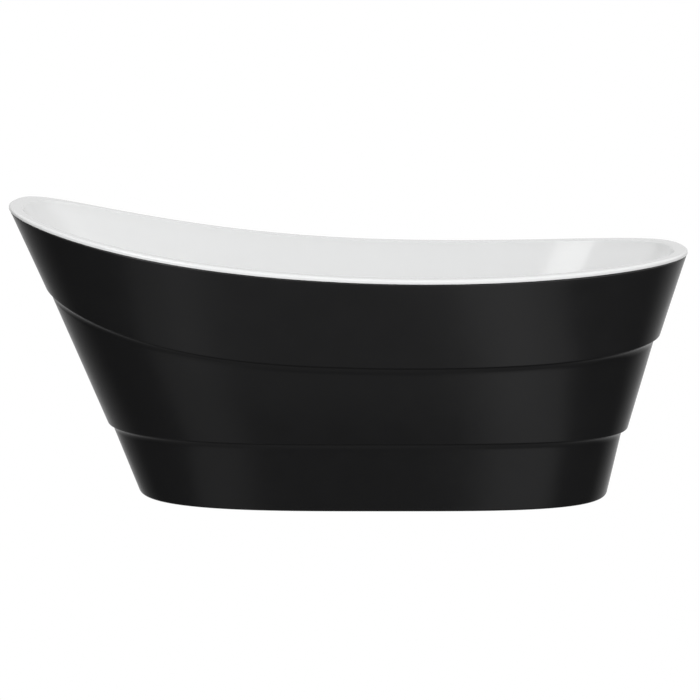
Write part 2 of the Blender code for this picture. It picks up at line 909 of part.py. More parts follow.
def hose_route(place, lean):
    """From the overflow's neck straight down behind the wall, then round to the tee's inlet."""
    axes = Matrix.Rotation(lean, 3, "Y")
    down = axes @ Vector((-1, 0, 0))
    start = place + axes @ Vector((HOSE_GRIP - NECK_LENGTH, 0, NECK_DEPTH))
    turn_level = FLOOR_HEIGHT + COVE
    bend = start + down * ((start.z - turn_level) / -down.z)
    inlet = Vector((DRAIN_X + INLET_REACH, 0, INLET_LEVEL))
    straight = inlet + Vector((2 * HOSE_NUT_HEIGHT, 0, 0))
    pull = 0.55 * (bend - straight).length
    first = bend + down * pull
    second = straight + Vector((0.8 * pull, 0, 0))
    points = [start]
    steps = 10
    for index in range(steps + 1):
        share = index / steps
        rest = 1 - share
        points.append(
            bend * rest**3
            + first * 3 * rest**2 * share
            + second * 3 * rest * share**2
            + straight * share**3
        )
    points.append(inlet - Vector((HOSE_GRIP, 0, 0)))
    return points


def make_hose(place, lean):
    """The overflow hose: a bevelled curve, made a mesh so that it can have a wall."""
    route = hose_route(place, lean)
    curve = bpy.data.curves.new("hose_route", "CURVE")
    curve.dimensions = "3D"
    curve.bevel_depth = HOSE_RADIUS
    curve.bevel_resolution = 4
    spline = curve.splines.new("POLY")
    spline.points.add(len(route) - 1)
    for point, spot in zip(spline.points, route):
        point.co = (*spot, 1.0)
    guide = bpy.data.objects.new("hose_guide", curve)
    bpy.data.collections[CUTTERS].objects.link(guide)
    evaluated = guide.evaluated_get(bpy.context.evaluated_depsgraph_get())
    mesh = bpy.data.meshes.new_from_object(evaluated)
    bpy.data.objects.remove(guide)
    hose = add_object("overflow_hose", mesh, grey_plastic())
    thicken(hose, HOSE_WALL)
    neck_end = Matrix.Rotation(lean, 3, "Y") @ Vector((-NECK_LENGTH, 0, NECK_DEPTH))
    quarter = math.radians(90)
    ends = {
        "upper": (place + neck_end, lean - quarter),
        "lower": (Vector((DRAIN_X + INLET_REACH, 0, INLET_LEVEL)), quarter),
    }
    for name, (end, turn) in ends.items():
        bush(
            f"hose_nut_{name}",
            HOSE_RADIUS + RUNNING_GAP,
            NECK_RADIUS + HOSE_NUT_RIM,
            GAP,
            GAP + HOSE_NUT_HEIGHT,
            black_plastic(),
            SMALL_SIDES,
            parent=add_frame(f"hose_nut_axis_{name}", end, turn),
        )


def main():
    clear_scene()
    place, lean = overflow_place()
    overflow = add_frame("overflow_axis", place, lean)
    drain = add_frame("drain_axis", (DRAIN_X, 0, 0))
    make_basin(overflow)
    make_skirt()
    make_bond()
    make_board()
    make_frame()
    make_frame_screws()
    make_feet()
    make_drain_flange(drain)
    make_stopper(drain)
    make_waste(drain)
    make_overflow(overflow)
    make_hose(place, lean)


main()
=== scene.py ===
"""The finished look of the freestanding slipper bathtub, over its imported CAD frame."""
import json
import math
from functools import cache

import bmesh
import bpy
from mathutils import Matrix, Vector


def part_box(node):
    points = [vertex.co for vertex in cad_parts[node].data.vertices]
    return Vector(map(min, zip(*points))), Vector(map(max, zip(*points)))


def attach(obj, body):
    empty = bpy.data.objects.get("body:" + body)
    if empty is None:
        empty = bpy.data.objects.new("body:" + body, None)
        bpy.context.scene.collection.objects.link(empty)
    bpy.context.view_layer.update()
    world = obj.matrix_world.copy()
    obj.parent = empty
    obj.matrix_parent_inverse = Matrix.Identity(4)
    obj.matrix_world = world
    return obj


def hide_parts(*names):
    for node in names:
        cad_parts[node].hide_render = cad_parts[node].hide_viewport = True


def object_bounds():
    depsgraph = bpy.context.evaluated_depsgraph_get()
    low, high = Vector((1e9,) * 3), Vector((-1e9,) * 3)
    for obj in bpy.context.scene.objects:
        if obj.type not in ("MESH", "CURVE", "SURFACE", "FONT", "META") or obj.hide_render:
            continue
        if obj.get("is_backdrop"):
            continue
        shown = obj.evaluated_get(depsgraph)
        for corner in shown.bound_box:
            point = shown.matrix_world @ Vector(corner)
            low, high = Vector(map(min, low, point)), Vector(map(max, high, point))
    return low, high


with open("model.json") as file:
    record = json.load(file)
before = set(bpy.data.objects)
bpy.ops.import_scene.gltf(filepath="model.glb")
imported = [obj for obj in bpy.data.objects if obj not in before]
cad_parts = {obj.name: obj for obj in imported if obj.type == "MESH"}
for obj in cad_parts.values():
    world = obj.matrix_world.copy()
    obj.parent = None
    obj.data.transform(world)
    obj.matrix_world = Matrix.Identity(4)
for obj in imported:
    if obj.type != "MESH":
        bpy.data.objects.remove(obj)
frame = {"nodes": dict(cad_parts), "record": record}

bl_info = {
    "name": "Slipper Bathtub",
    "version": (1, 0, 0),
    "blender": (4, 5, 0),
    "location": "3D View > Sidebar > Bathtub",
    "description": "Builds the finished surfaces of a freestanding slipper bathtub",
    "category": "Object",
}

NODES = frame["nodes"]
BODIES = frame["record"]["behaviour"]["bodies"]
BODY_OF = {node: body for body, members in BODIES.items() for node in members}
CAD_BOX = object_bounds()
LENGTH = CAD_BOX[1].x - CAD_BOX[0].x
WIDTH = CAD_BOX[1].y - CAD_BOX[0].y


# ---------------------------------------------------------------- sizes and colours


def length(name, description, default):
    return bpy.props.FloatProperty(
        name=name, description=description, default=default, unit="LENGTH", precision=4
    )


def colour(name, description, default):
    return bpy.props.FloatVectorProperty(
        name=name, description=description, default=default, subtype="COLOR", min=0, max=1
    )


def share(name, description, default):
    return bpy.props.FloatProperty(
        name=name, description=description, default=default, subtype="FACTOR", min=0, max=1
    )


class TubSizes(bpy.types.PropertyGroup):
    """The shapes of basin and skirt. Heights that sweep are drops below the head end's rim."""

    top: length("Head height", "Height of the rim at the head end", 0.737)
    rim_width: length("Rim width", "Width of the rim between its inner and outer edge", 0.034)
    rim_edge: length("Rim edge radius", "Radius of both edges of the rim", 0.006)
    lip_depth: length("Lip depth", "How far the rim's lip hangs down over the skirt", 0.011)
    basin_wall: length("Basin wall", "Thickness of the basin", 0.005)
    skirt_wall: length("Skirt wall", "Thickness of the skirt", 0.005)
    skirt_inset: length("Skirt inset", "How far the skirt stands in from the lip", 0.0015)
    step_inset: length("Step inset", "How far each step of the skirt goes in", 0.016)
    step_fall: length("Step fall", "Height of each step's ledge", 0.020)
    step_corner: length("Step corner", "Reach of the curve at each step's outer corner", 0.0020)
    step_hollow: length("Step hollow", "Reach of the curve at each step's inner corner", 0.0006)
    step_two: length("Lower step height", "Height of the lower, level step", 0.1788)
    floor: length("Floor height", "Height of the basin's floor at the drain", 0.135)
    floor_fall: length("Floor fall", "How far the floor slopes to the drain", 0.003)
    cove: length("Cove", "Run of the curve between floor and wall", 0.080)
    cove_share: share("Cove share", "Share of the wall that the cove takes up", 0.22)
    drain_hole: length("Drain hole radius", "Radius of the drain hole", 0.0265)
    recess: length("Drain recess radius", "Radius of the recess round the drain", 0.042)
    recess_depth: length("Recess depth", "Depth of the drain's recess", 0.003)
    overflow_hole: length("Overflow hole radius", "Radius of the overflow hole", 0.026)


class TubHardware(bpy.types.PropertyGroup):
    """The small pieces under and inside the tub."""

    tube_wall: length("Tube wall", "Wall of the square tubes", 0.002)
    tube_corner: length("Tube corner", "Outer corner radius of the square tubes", 0.003)
    stud: length("Stud radius", "Radius of the levelling studs", 0.006)
    stud_hole: length("Stud hole radius", "Radius of the holes that the studs pass", 0.0068)
    screw_hole: length("Screw hole radius", "Radius of the holes that the screws pass", 0.0033)
    stud_pitch: length("Stud pitch", "Pitch of the levelling studs' thread", 0.00175)
    stud_thread: length("Stud thread depth", "Depth of the levelling studs' thread", 0.0010)
    nut_across: length("Nut across flats", "Width of the foot nuts over two flats", 0.019)
    weld: length("Weld size", "Half width of the weld beads", 0.0018)
    sleeve: length("Drain sleeve radius", "Outer radius of the drain's sleeve", 0.024)
    drain_pitch: length("Drain thread pitch", "Pitch of the drain sleeve's thread", 0.0022)
    hose: length("Hose radius", "Outer radius of the overflow hose", 0.011)
    hose_pitch: length("Hose pitch", "Distance between two corrugations of the hose", 0.0044)
    hose_depth: length("Hose depth", "Depth of the hose's corrugations", 0.0014)
    hose_grip: length("Hose grip", "Plain length of hose pushed into each neck", 0.020)
    neck: length("Overflow neck", "Length of the overflow's neck from its axis", 0.058)
    neck_radius: length("Neck radius", "Outer radius of the hose necks", 0.0146)
    hose_turn: length("Hose turn height", "Height at which the hose leaves the wall", 0.215)
    grips: bpy.props.IntProperty(
        name="Grips", description="Number of grip ribs round each hand nut", default=12, min=3
    )


class TubFinish(bpy.types.PropertyGroup):
    """Colours of the visible materials."""

    white: colour("Basin white", "Sanitary acrylic of the basin", (0.86, 0.865, 0.865))
    black: colour("Skirt black", "Satin acrylic of the skirt", (0.0092, 0.0092, 0.0095))
    laminate: colour("Laminate", "Glass fibre laminate on the hidden sides", (0.56, 0.52, 0.40))
    zinc: colour("Zinc", "Galvanised and plated steel", (0.56, 0.57, 0.58))
    wood: colour("Plywood", "Face of the floor board", (0.55, 0.39, 0.23))
    skirt_roughness: share("Skirt roughness", "Sheen of the skirt", 0.24)


class TubStage(bpy.types.PropertyGroup):
    """The camera."""

    distance: length("Camera distance", "From the camera to the tub's middle", 4.0)
    pitch: bpy.props.FloatProperty(
        name="Camera pitch",
        description="How far the camera looks down",
        default=math.radians(10.7),
        subtype="ANGLE",
    )
    target: length("Target height", "Height of the point the camera looks at", 0.36)
    lens: bpy.props.FloatProperty(
        name="Lens", description="Focal length in millimetres", default=79.67
    )
    lift: bpy.props.FloatProperty(
        name="Vertical shift", description="Camera shift, in picture widths", default=-0.0077
    )


# ---------------------------------------------------------------- outlines and shells


class Outline:
    """A closed outline in plan: two half superellipses that meet at the widest place.

    Its sizes are head, foot, widest, half width, head power and foot power.
    """

    def __init__(self, *sizes):
        self.sizes = sizes

    def inset(self, distance):
        head, foot, widest, half_width, *powers = self.sizes
        return Outline(head + distance, foot - distance, widest, half_width - distance, *powers)

    def ring(self, height):
        """Points round the outline, each at the height that the function gives for its x."""
        head, foot, widest, half_width, head_power, foot_power = self.sizes
        points = []
        for index in range(AROUND):
            turn = (index + 0.5) * math.tau / AROUND
            along, across = math.cos(turn), math.sin(turn)
            power = 2 / (foot_power if along > 0 else head_power)
            reach = foot - widest if along > 0 else widest - head
            x = widest + math.copysign(reach * abs(along) ** power, along)
            y = math.copysign(half_width * abs(across) ** power, across)
            points.append(Vector((x, y, height(x))))
        return points


AROUND = 240
END, SIDE = LENGTH / 2, WIDTH / 2
RIM = Outline(-END, END, -0.057 * LENGTH, SIDE, 2.74, 2.60)
STEP_ONE = Outline(0.0866 - END, END - 0.0692, -0.014, SIDE - 0.0312, 3.2, 3.36)
STEP_TWO = Outline(0.2266 - END, END - 0.1448, -0.02, SIDE - 0.0714, 2.73, 3.98)
BASE = Outline(0.306 - END, END - 0.190, 0.076, SIDE - 0.107, 3.25, 3.7)
WALL_FOOT = Outline(0.430 - END, END - 0.290, 0.060, SIDE - 0.150, 2.8, 3.0)
RIM_DROPS = (0.0, 0.145, 0.164, 0.165, 0.117)
STEP_ONE_DROPS = (0.1451, 0.3735, 0.3883, 0.3416, 0.3994, 0.3039)
LIP_EDGE = 0.0012
FLANGE = 0.024


def sweep(top, drops, below=0.0):
    """The height of a line that sweeps from head to foot, as a function of x."""
    last = len(drops) - 1

    def height(x):
        part = x / LENGTH + 0.5
        fall = 0.0
        for index, drop in enumerate(drops):
            fall += drop * math.comb(last, index) * part**index * (1 - part) ** (last - index)
        return top - fall - below

    return height


def steady(value):
    """The same value everywhere."""
    return lambda x: value


def rim_ring(size, inset, drop):
    """A ring of the rim's outline, set in and let down from the top edge."""
    return RIM.inset(inset).ring(sweep(size.top, RIM_DROPS, drop))


def circle(reach, height, count, start=0.0, centre=0.0):
    """Points round Z, each at the reach that the function gives for its turn."""
    turns = [(index + start) * math.tau / count for index in range(count)]
    return [
        Vector((centre + reach(turn) * math.cos(turn), reach(turn) * math.sin(turn), height))
        for turn in turns
    ]


def arc(steps, start, end):
    """Angles from start to end in degrees, given in radians."""
    return [math.radians(start + (end - start) * index / steps) for index in range(steps + 1)]


def bend(turn, radius):
    """How far in from the side and down from the top a rounded edge is at a turn."""
    return radius * (1 - math.cos(turn)), radius * (1 - math.sin(turn))


def off_flat(turn):
    """The turn from the middle of the nearest flat of a hexagon."""
    return (turn + math.radians(30)) % math.radians(60) - math.radians(30)


def blend_rings(first, second, part):
    return [a.lerp(b, part) for a, b in zip(first, second)]


def to_mesh(form, solid=False):
    """The form's mesh. A solid's doubles are merged first and its faces turned outwards."""
    if solid:
        bmesh.ops.remove_doubles(form, verts=form.verts, dist=1e-6)
        bmesh.ops.dissolve_degenerate(form, edges=form.edges, dist=1e-7)
        bmesh.ops.recalc_face_normals(form, faces=form.faces)
    mesh = bpy.data.meshes.new("made")
    form.to_mesh(mesh)
    form.free()
    return mesh


def loft(rings, closed=False, capped=False, solid=True):
    """A skin over rings of equally many points. A closed loft joins the last ring to the first."""
    form = bmesh.new()
    rows = [[form.verts.new(point) for point in ring] for ring in rings]
    if closed:
        rows.append(rows[0])
    for upper, lower in zip(rows, rows[1:]):
        for index in range(len(upper)):
            after = (index + 1) % len(upper)
            form.faces.new((upper[index], lower[index], lower[after], upper[after]))
    if capped:
        form.faces.new(rows[0])
        form.faces.new(rows[-1])
    return to_mesh(form, solid)


def round_corners(path, reaches, steps):
    """The path with its inner corners rounded: one reach for all, or one for each point."""
    made = [path[0]]
    for index in range(1, len(path) - 1):
        reach = reaches[index] if isinstance(reaches, list) else reaches
        corner = path[index]
        if not reach:
            made.append(corner)
            continue
        back, ahead = path[index - 1] - corner, path[index + 1] - corner
        start = corner + back.normalized() * min(reach, 0.45 * back.length)
        end = corner + ahead.normalized() * min(reach, 0.45 * ahead.length)
        for step in range(steps + 1):
            part = step / steps
            made.append(start.lerp(corner, part).lerp(corner.lerp(end, part), part))
    made.append(path[-1])
    return made


def soften(rings, reaches, steps):
    """Rings that run down through corners, with each column of points rounded there."""
    columns = [round_corners(column, reaches, steps) for column in zip(*rings)]
    return [list(ring) for ring in zip(*columns)]


def fill(rings, most=0.016):
    """More rings wherever two are far apart."""
    made = [rings[0]]
    for ring in rings[1:]:
        start = made[-1]
        count = math.ceil(max((a - b).length for a, b in zip(start, ring)) / most)
        made += [blend_rings(start, ring, index / count) for index in range(1, count)]
        made.append(ring)
    return made


def finer(profile, step):
    """The profile with its upright stretches divided, so that a thread can be cut there."""
    made = [profile[0]]
    for point in profile[1:]:
        start = made[-1]
        upright = abs(point.x - start.x) < 1e-6
        count = max(1, round(abs(point.y - start.y) / step)) if upright else 1
        made += [start.lerp(point, index / count) for index in range(1, count + 1)]
    return made


def lathe(profile, sides, place=None):
    """A turned mesh about Z. The (radius, height) profile runs down the piece's outer side."""
    form = bmesh.new()
    rows = []
    for index in range(sides):
        turn = index * math.tau / sides
        rows.append(
            [form.verts.new((r * math.cos(turn), r * math.sin(turn), z)) for r, z in profile]
        )
    for index, row in enumerate(rows):
        after = rows[(index + 1) % sides]
        for a, b, c, d in zip(row, row[1:], after[1:], after):
            form.faces.new((a, b, c, d))
    mesh = to_mesh(form, True)
    if place:
        mesh.transform(place)
    return mesh


def turned(corners, edge, sides=96, place=None, step=None):
    """A turned mesh with softened corners. A profile that is off the axis closes on itself."""
    points = [Vector(corner) for corner in corners]
    if points[0].x > 1e-6:
        seam = (points[0] + points[-1]) / 2
        points = [seam, *points, seam]
    profile = round_corners(points, edge, 3)
    return lathe(finer(profile, step) if step else profile, sides, place)


def bush(inner, outer, low, high, edge, sides=96, place=None):
    """A plain ring with softened edges."""
    corners = [(outer, high), (outer, low), (inner, low), (inner, high)]
    return turned(corners, edge, sides, place)


def rod(radius, low, high, sides=48, place=None, edge=0.0003):
    """A round bar along Z between two heights."""
    return turned([(0, high), (radius, high), (radius, low), (0, low)], edge, sides, place)


def block(size, place=(0, 0, 0), edge=0.0004):
    """A bar with bevelled edges, made about a place."""
    form = bmesh.new()
    matrix = Matrix.Translation(place) @ Matrix.Diagonal((*size, 1.0))
    bmesh.ops.create_cube(form, size=1.0, matrix=matrix)
    bmesh.ops.bevel(form, geom=form.edges, offset=edge, segments=2, affect="EDGES", profile=0.5)
    return to_mesh(form)


def prism(outline, thickness):
    """A fin: an outline in X and Z, given a thickness along Y."""
    half = thickness / 2
    return loft([[Vector((x, y, z)) for x, z in outline] for y in (half, -half)], capped=True)


def hexagon(across, low, high, bore=0.0):
    """A hexagon nut or head whose corners are turned off at both ends."""
    flat, limit, slope = across / 2, across * 0.475, math.tan(math.radians(30))
    chamfer = (flat / math.cos(math.radians(30)) - limit) * slope
    levels = [high, high - chamfer / 2, high - chamfer, low + chamfer, low + chamfer / 2, low]
    count, sink = 72, 0.0006

    def flats(height):
        most = limit + min(height - low, high - height) / slope
        return lambda turn: min(flat / math.cos(off_flat(turn)), most)

    rings = [circle(flats(height), height, count) for height in levels]
    if bore:
        for height, more in ((low, sink), (low + sink, 0), (high - sink, 0), (high, sink)):
            rings.append(circle(steady(bore + more), height, count))
        return loft(rings, closed=True)
    top, bottom = [[Vector((0, 0, height))] * count for height in (high, low)]
    return loft([top, *rings, bottom])


def join(*meshes):
    """One mesh of several closed shells."""
    form = bmesh.new()
    for mesh in meshes:
        form.from_mesh(mesh)
    return to_mesh(form)


def poly_curve(name, paths):
    """A curve of straight runs through the points of each path, closed where it says so."""
    curve = bpy.data.curves.new(name, "CURVE")
    curve.dimensions = "3D"
    for points, cyclic in paths:
        spline = curve.splines.new("POLY")
        spline.points.add(len(points) - 1)
        for point, at in zip(spline.points, points):
            point.co = (*at, 1.0)
        spline.use_cyclic_u = cyclic
    return curve


def placed(name, data):
    """A new object in the scene."""
    obj = bpy.data.objects.new(name, data)
    bpy.context.scene.collection.objects.link(obj)
    return obj


def modify(obj, kind, **settings):
    modifier = obj.modifiers.new("made", kind)
    for key, value in settings.items():
        setattr(modifier, key, value)
    return modifier


def bake(obj):
    """The object's mesh with its modifiers applied, ready for a new object."""
    evaluated = obj.evaluated_get(bpy.context.evaluated_depsgraph_get())
    mesh = bpy.data.meshes.new_from_object(evaluated)
    bpy.data.objects.remove(obj)
    return mesh


def carve(mesh, other, operation="DIFFERENCE"):
    """The mesh with another cut from it or added to it."""
    obj, tool = placed("carved", mesh), placed("tool", other)
    modify(obj, "BOOLEAN", object=tool, operation=operation)
    made = bake(obj)
    bpy.data.objects.remove(tool)
    return made


# ---------------------------------------------------------------- node trees


class Nodes:
    """A node tree under construction."""

    def __init__(self, tree):
        self.tree = tree

    def add(self, kind, values=None, **settings):
        """A node whose inputs are linked where the value is a socket, and otherwise set."""
        node = self.tree.nodes.new(kind)
        for key, value in settings.items():
            setattr(node, key, value)
        for socket, value in (values or {}).items():
            if isinstance(value, bpy.types.NodeSocket):
                self.tree.links.new(value, node.inputs[socket])
            else:
                node.inputs[socket].default_value = value
        return node

    def math(self, operation, *values):
        values = dict(enumerate(values))
        return self.add("ShaderNodeMath", values, operation=operation).outputs[0]

    def ramp(self, value, start, end, low, high):
        """A value carried from one range to another, and held at its ends."""
        ends = {"From Min": start, "From Max": end, "To Min": low, "To Max": high}
        return self.add("ShaderNodeMapRange", {"Value": value, **ends}).outputs["Result"]

    def axes(self, vector):
        return self.add("ShaderNodeSeparateXYZ", {"Vector": vector}).outputs

    def vector(self, **axes):
        return self.add("ShaderNodeCombineXYZ", axes).outputs[0]

    def noise(self, **values):
        return self.add("ShaderNodeTexNoise", values).outputs

    def mix(self, amount, first, second, **settings):
        values = {"Factor": amount, "A": first, "B": second}
        return self.add("ShaderNodeMix", values, **settings).outputs["Result"]


class Group(Nodes):
    """A node group with named inputs, each given by its default or by its kind of socket."""

    KINDS = {float: "Float", int: "Int", tuple: "Color"}

    def __init__(self, name, tree, inputs):
        super().__init__(bpy.data.node_groups.new(name, tree))
        for label, default in inputs.items():
            if isinstance(default, str):
                self.socket(label, "INPUT", default)
            else:
                self.socket(label, "INPUT", self.KINDS[type(default)]).default_value = default
        self.given = self.add("NodeGroupInput").outputs

    def socket(self, label, side, kind):
        kind = f"NodeSocket{kind}"
        return self.tree.interface.new_socket(label, in_out=side, socket_type=kind)

    def close(self, label, kind, output):
        """End the tree with its one output."""
        self.socket(label, "OUTPUT", kind)
        self.add("NodeGroupOutput", {label: output})
        return self.tree


class Rule(Group):
    """A Geometry Nodes tree. It takes geometry first and a material last."""

    def __init__(self, name, **inputs):
        inputs = {"Geometry": "Geometry", **inputs, "Material": "Material"}
        super().__init__(name, "GeometryNodeTree", inputs)

    def make(self, kind, values=None, **settings):
        return self.add(f"GeometryNode{kind}", values, **settings)

    def realise(self, geometry):
        """Realise the instances, set the material and end the tree."""
        real = self.make("RealizeInstances", {"Geometry": geometry}).outputs[0]
        values = {"Geometry": real, "Material": self.given["Material"]}
        return self.close("Geometry", "Geometry", self.make("SetMaterial", values).outputs[0])


def ruled(data, tree, slot, **values):
    """The plain mesh that a tree makes of a mesh or a curve."""
    obj = placed("ruled", data)
    modifier = modify(obj, "NODES", node_group=tree)
    values["Material"] = finish_of(slot)
    for item in tree.interface.items_tree:
        if item.in_out == "INPUT" and item.name in values:
            modifier[item.identifier] = values[item.name]
    return bake(obj)


@cache
def thread_rule():
    """Cut a thread into the upright wall at Radius between Low and High, about the Z axis."""
    rule = Rule("cut_thread", Radius=0.006, Pitch=0.00175, Depth=0.0009, Low=0.0, High=0.1)
    given, sum_up = rule.given, rule.math
    x, y, z = rule.axes(rule.make("InputPosition").outputs[0])
    turn = sum_up("DIVIDE", sum_up("ARCTAN2", y, x), math.tau)
    climb = sum_up("DIVIDE", z, given["Pitch"])
    phase = sum_up("FRACT", sum_up("SUBTRACT", climb, turn))
    crest = sum_up("MULTIPLY", sum_up("ABSOLUTE", sum_up("SUBTRACT", phase, 0.5)), 2.0)
    flank = rule.ramp(crest, 0.15, 0.85, 0.0, 1.0)
    drop = sum_up("MULTIPLY", sum_up("SUBTRACT", 1.0, flank), given["Depth"])
    start = sum_up("DIVIDE", sum_up("SUBTRACT", z, given["Low"]), given["Pitch"])
    end = sum_up("DIVIDE", sum_up("SUBTRACT", given["High"], z), given["Pitch"])
    fade = sum_up("MINIMUM", sum_up("MINIMUM", start, end), 1.0)
    drop = sum_up("MULTIPLY", drop, sum_up("MAXIMUM", fade, 0.0))
    scale = sum_up("SUBTRACT", 1.0, sum_up("DIVIDE", drop, given["Radius"]))
    flat = {0: rule.vector(X=x, Y=y)}
    out = rule.add("ShaderNodeVectorMath", flat, operation="LENGTH").outputs["Value"]
    wall = sum_up("ABSOLUTE", sum_up("SUBTRACT", out, given["Radius"]))
    near = sum_up("LESS_THAN", wall, 0.0001)
    spot = rule.vector(X=sum_up("MULTIPLY", x, scale), Y=sum_up("MULTIPLY", y, scale), Z=z)
    values = {"Geometry": given[0], "Selection": near, "Position": spot}
    return rule.realise(rule.make("SetPosition", values).outputs[0])


@cache
def ribs_rule():
    """Repeat a rib round the Z axis and join the copies to the piece."""
    rule = Rule("ribs_round", Count=8, Radius=0.03, Rib="Object")
    given = rule.given
    circle = {"Vertices": given["Count"], "Radius": given["Radius"]}
    spots = rule.make("MeshCircle", circle).outputs[0]
    rib = rule.make("ObjectInfo", {"Object": given["Rib"]}).outputs["Geometry"]
    part = rule.math("DIVIDE", rule.make("InputIndex").outputs[0], given["Count"])
    spin = rule.vector(Z=rule.math("MULTIPLY", part, math.tau))
    copies = {"Points": spots, "Instance": rib, "Rotation": spin}
    copies = rule.make("InstanceOnPoints", copies).outputs[0]
    both = rule.make("JoinGeometry")
    rule.tree.links.new(copies, both.inputs[0])
    rule.tree.links.new(given[0], both.inputs[0])
    return rule.realise(both.outputs[0])


@cache
def hose_rule():
    """A corrugated hose along a curve, plain for a grip's length at both ends."""
    rule = Rule("corrugated_hose", Radius=0.011, Depth=0.0012, Pitch=0.0042, Grip=0.02)
    given, sum_up = rule.given, rule.math
    step = sum_up("DIVIDE", given["Pitch"], 8.0)
    values = {"Curve": given[0], "Length": step}
    path = rule.make("ResampleCurve", values, mode="LENGTH").outputs[0]
    along = rule.make("SplineParameter").outputs["Length"]
    whole = rule.make("SplineLength").outputs["Length"]
    turn = sum_up("MULTIPLY", sum_up("DIVIDE", along, given["Pitch"]), math.tau)
    hollow = sum_up("MULTIPLY", sum_up("ADD", sum_up("COSINE", turn), 1.0), 0.5)
    hollow = sum_up("POWER", hollow, 0.7)
    head = sum_up("SUBTRACT", along, given["Grip"])
    tail = sum_up("SUBTRACT", sum_up("SUBTRACT", whole, given["Grip"]), along)
    inside = sum_up("DIVIDE", sum_up("MINIMUM", head, tail), given["Pitch"])
    inside = sum_up("MAXIMUM", sum_up("MINIMUM", inside, 1.0), 0.0)
    drop = sum_up("MULTIPLY", sum_up("MULTIPLY", hollow, inside), given["Depth"])
    size = sum_up("SUBTRACT", given["Radius"], drop)
    ring = rule.make("CurvePrimitiveCircle", {"Resolution": 32, "Radius": 1.0}).outputs[0]
    path = rule.make("SetCurveRadius", {"Curve": path, "Radius": size}).outputs[0]
    tube = rule.make("CurveToMesh", {"Curve": path, "Profile Curve": ring, "Fill Caps": True})
    if "Scale" in tube.inputs:
        rule.tree.links.new(rule.make("InputRadius").outputs[0], tube.inputs["Scale"])
    return rule.realise(tube.outputs[0])


@cache
def weld_rule():
    """A weld along each curve: overlapping drops of slightly different size."""
    rule = Rule("weld_bead", Pitch=0.0016, Size=0.0019, Seed=4)
    given = rule.given
    values = {"Curve": given[0], "Length": given["Pitch"]}
    spots = rule.make("CurveToPoints", values, mode="LENGTH").outputs[0]
    drop = rule.make("MeshIcoSphere", {"Radius": 1.0, "Subdivisions": 2}).outputs[0]
    range_of_sizes = {2: 0.85, 3: 1.12, "Seed": given["Seed"]}
    chance = rule.add("FunctionNodeRandomValue", range_of_sizes, data_type="FLOAT").outputs[1]
    size = rule.math("MULTIPLY", chance, given["Size"])
    values = {"Points": spots, "Instance": drop, "Scale": size}
    return rule.realise(rule.make("InstanceOnPoints", values).outputs[0])


def threaded(corners, edge, sides, slot, radius, pitch, depth, low, high, step=0.0002):
    """A turned piece with a thread in the wall of that radius, between two heights."""
    values = {"Radius": radius, "Pitch": pitch, "Depth": depth, "Low": low, "High": high}
    return ruled(turned(corners, edge, sides, None, step), thread_rule(), slot, **values)


def ribbed(body, rib, count, radius=0.0):
    """A black plastic piece with ribs round the Z axis."""
    tool = placed("rib", rib)
    mesh = ruled(body, ribs_rule(), "black_plastic", Rib=tool, Count=count, Radius=radius)
    bpy.data.objects.remove(tool)
    return mesh


# ---------------------------------------------------------------- materials


@cache
def uneven_gloss():
    """Group: a roughness that drifts softly between two values."""
    inputs = {"Vector": "Vector", "Scale": 6.0, "Low": 0.1, "High": 0.2}
    group = Group("uneven_gloss", "ShaderNodeTree", inputs)
    given = group.given
    cloud = group.noise(Vector=given["Vector"], Scale=given["Scale"], Detail=6, Roughness=0.6)
    drift = group.ramp(cloud["Fac"], 0.35, 0.65, given["Low"], given["High"])
    return group.close("Roughness", "Float", drift)


@cache
def fine_relief():
    """Group: a fine bump of grain over a slower ripple, as moulded and sprayed surfaces have."""
    inputs = {"Grain Scale": 900.0, "Ripple Scale": 40.0, "Ripple": 0.3, "Strength": 0.1}
    inputs = {"Vector": "Vector", **inputs, "Height": 0.0005}
    group = Group("fine_relief", "ShaderNodeTree", inputs)
    given = group.given
    grain, ripple = [
        group.noise(Vector=given["Vector"], Scale=given[scale], Detail=2)["Fac"]
        for scale in ("Grain Scale", "Ripple Scale")
    ]
    height = group.mix(given["Ripple"], grain, ripple, data_type="FLOAT")
    values = {"Height": height, "Strength": given["Strength"], "Distance": given["Height"]}
    return group.close("Normal", "Vector", group.add("ShaderNodeBump", values).outputs["Normal"])


@cache
def settled_dust():
    """Group: a colour with specks and faint dust, thicker where the surface faces up."""
    inputs = {"Vector": "Vector", "Colour": (0.5, 0.5, 0.5, 1.0), "Dust": (0.4, 0.38, 0.35, 1.0)}
    inputs = {**inputs, "Amount": 0.1, "Scale": 60.0}
    group = Group("settled_dust", "ShaderNodeTree", inputs)
    given = group.given
    speck = group.noise(Vector=given["Vector"], Scale=given["Scale"], Detail=8)["Fac"]
    normal = group.add("ShaderNodeNewGeometry").outputs["Normal"]
    facing = group.ramp(group.axes(normal)["Z"], -0.2, 1.0, 0.3, 1.0)
    amount = group.math("MULTIPLY", group.math("MULTIPLY", facing, given["Amount"]), speck)
    mixed = group.mix(amount, given["Colour"], given["Dust"], data_type="RGBA")
    return group.close("Color", "Color", mixed)


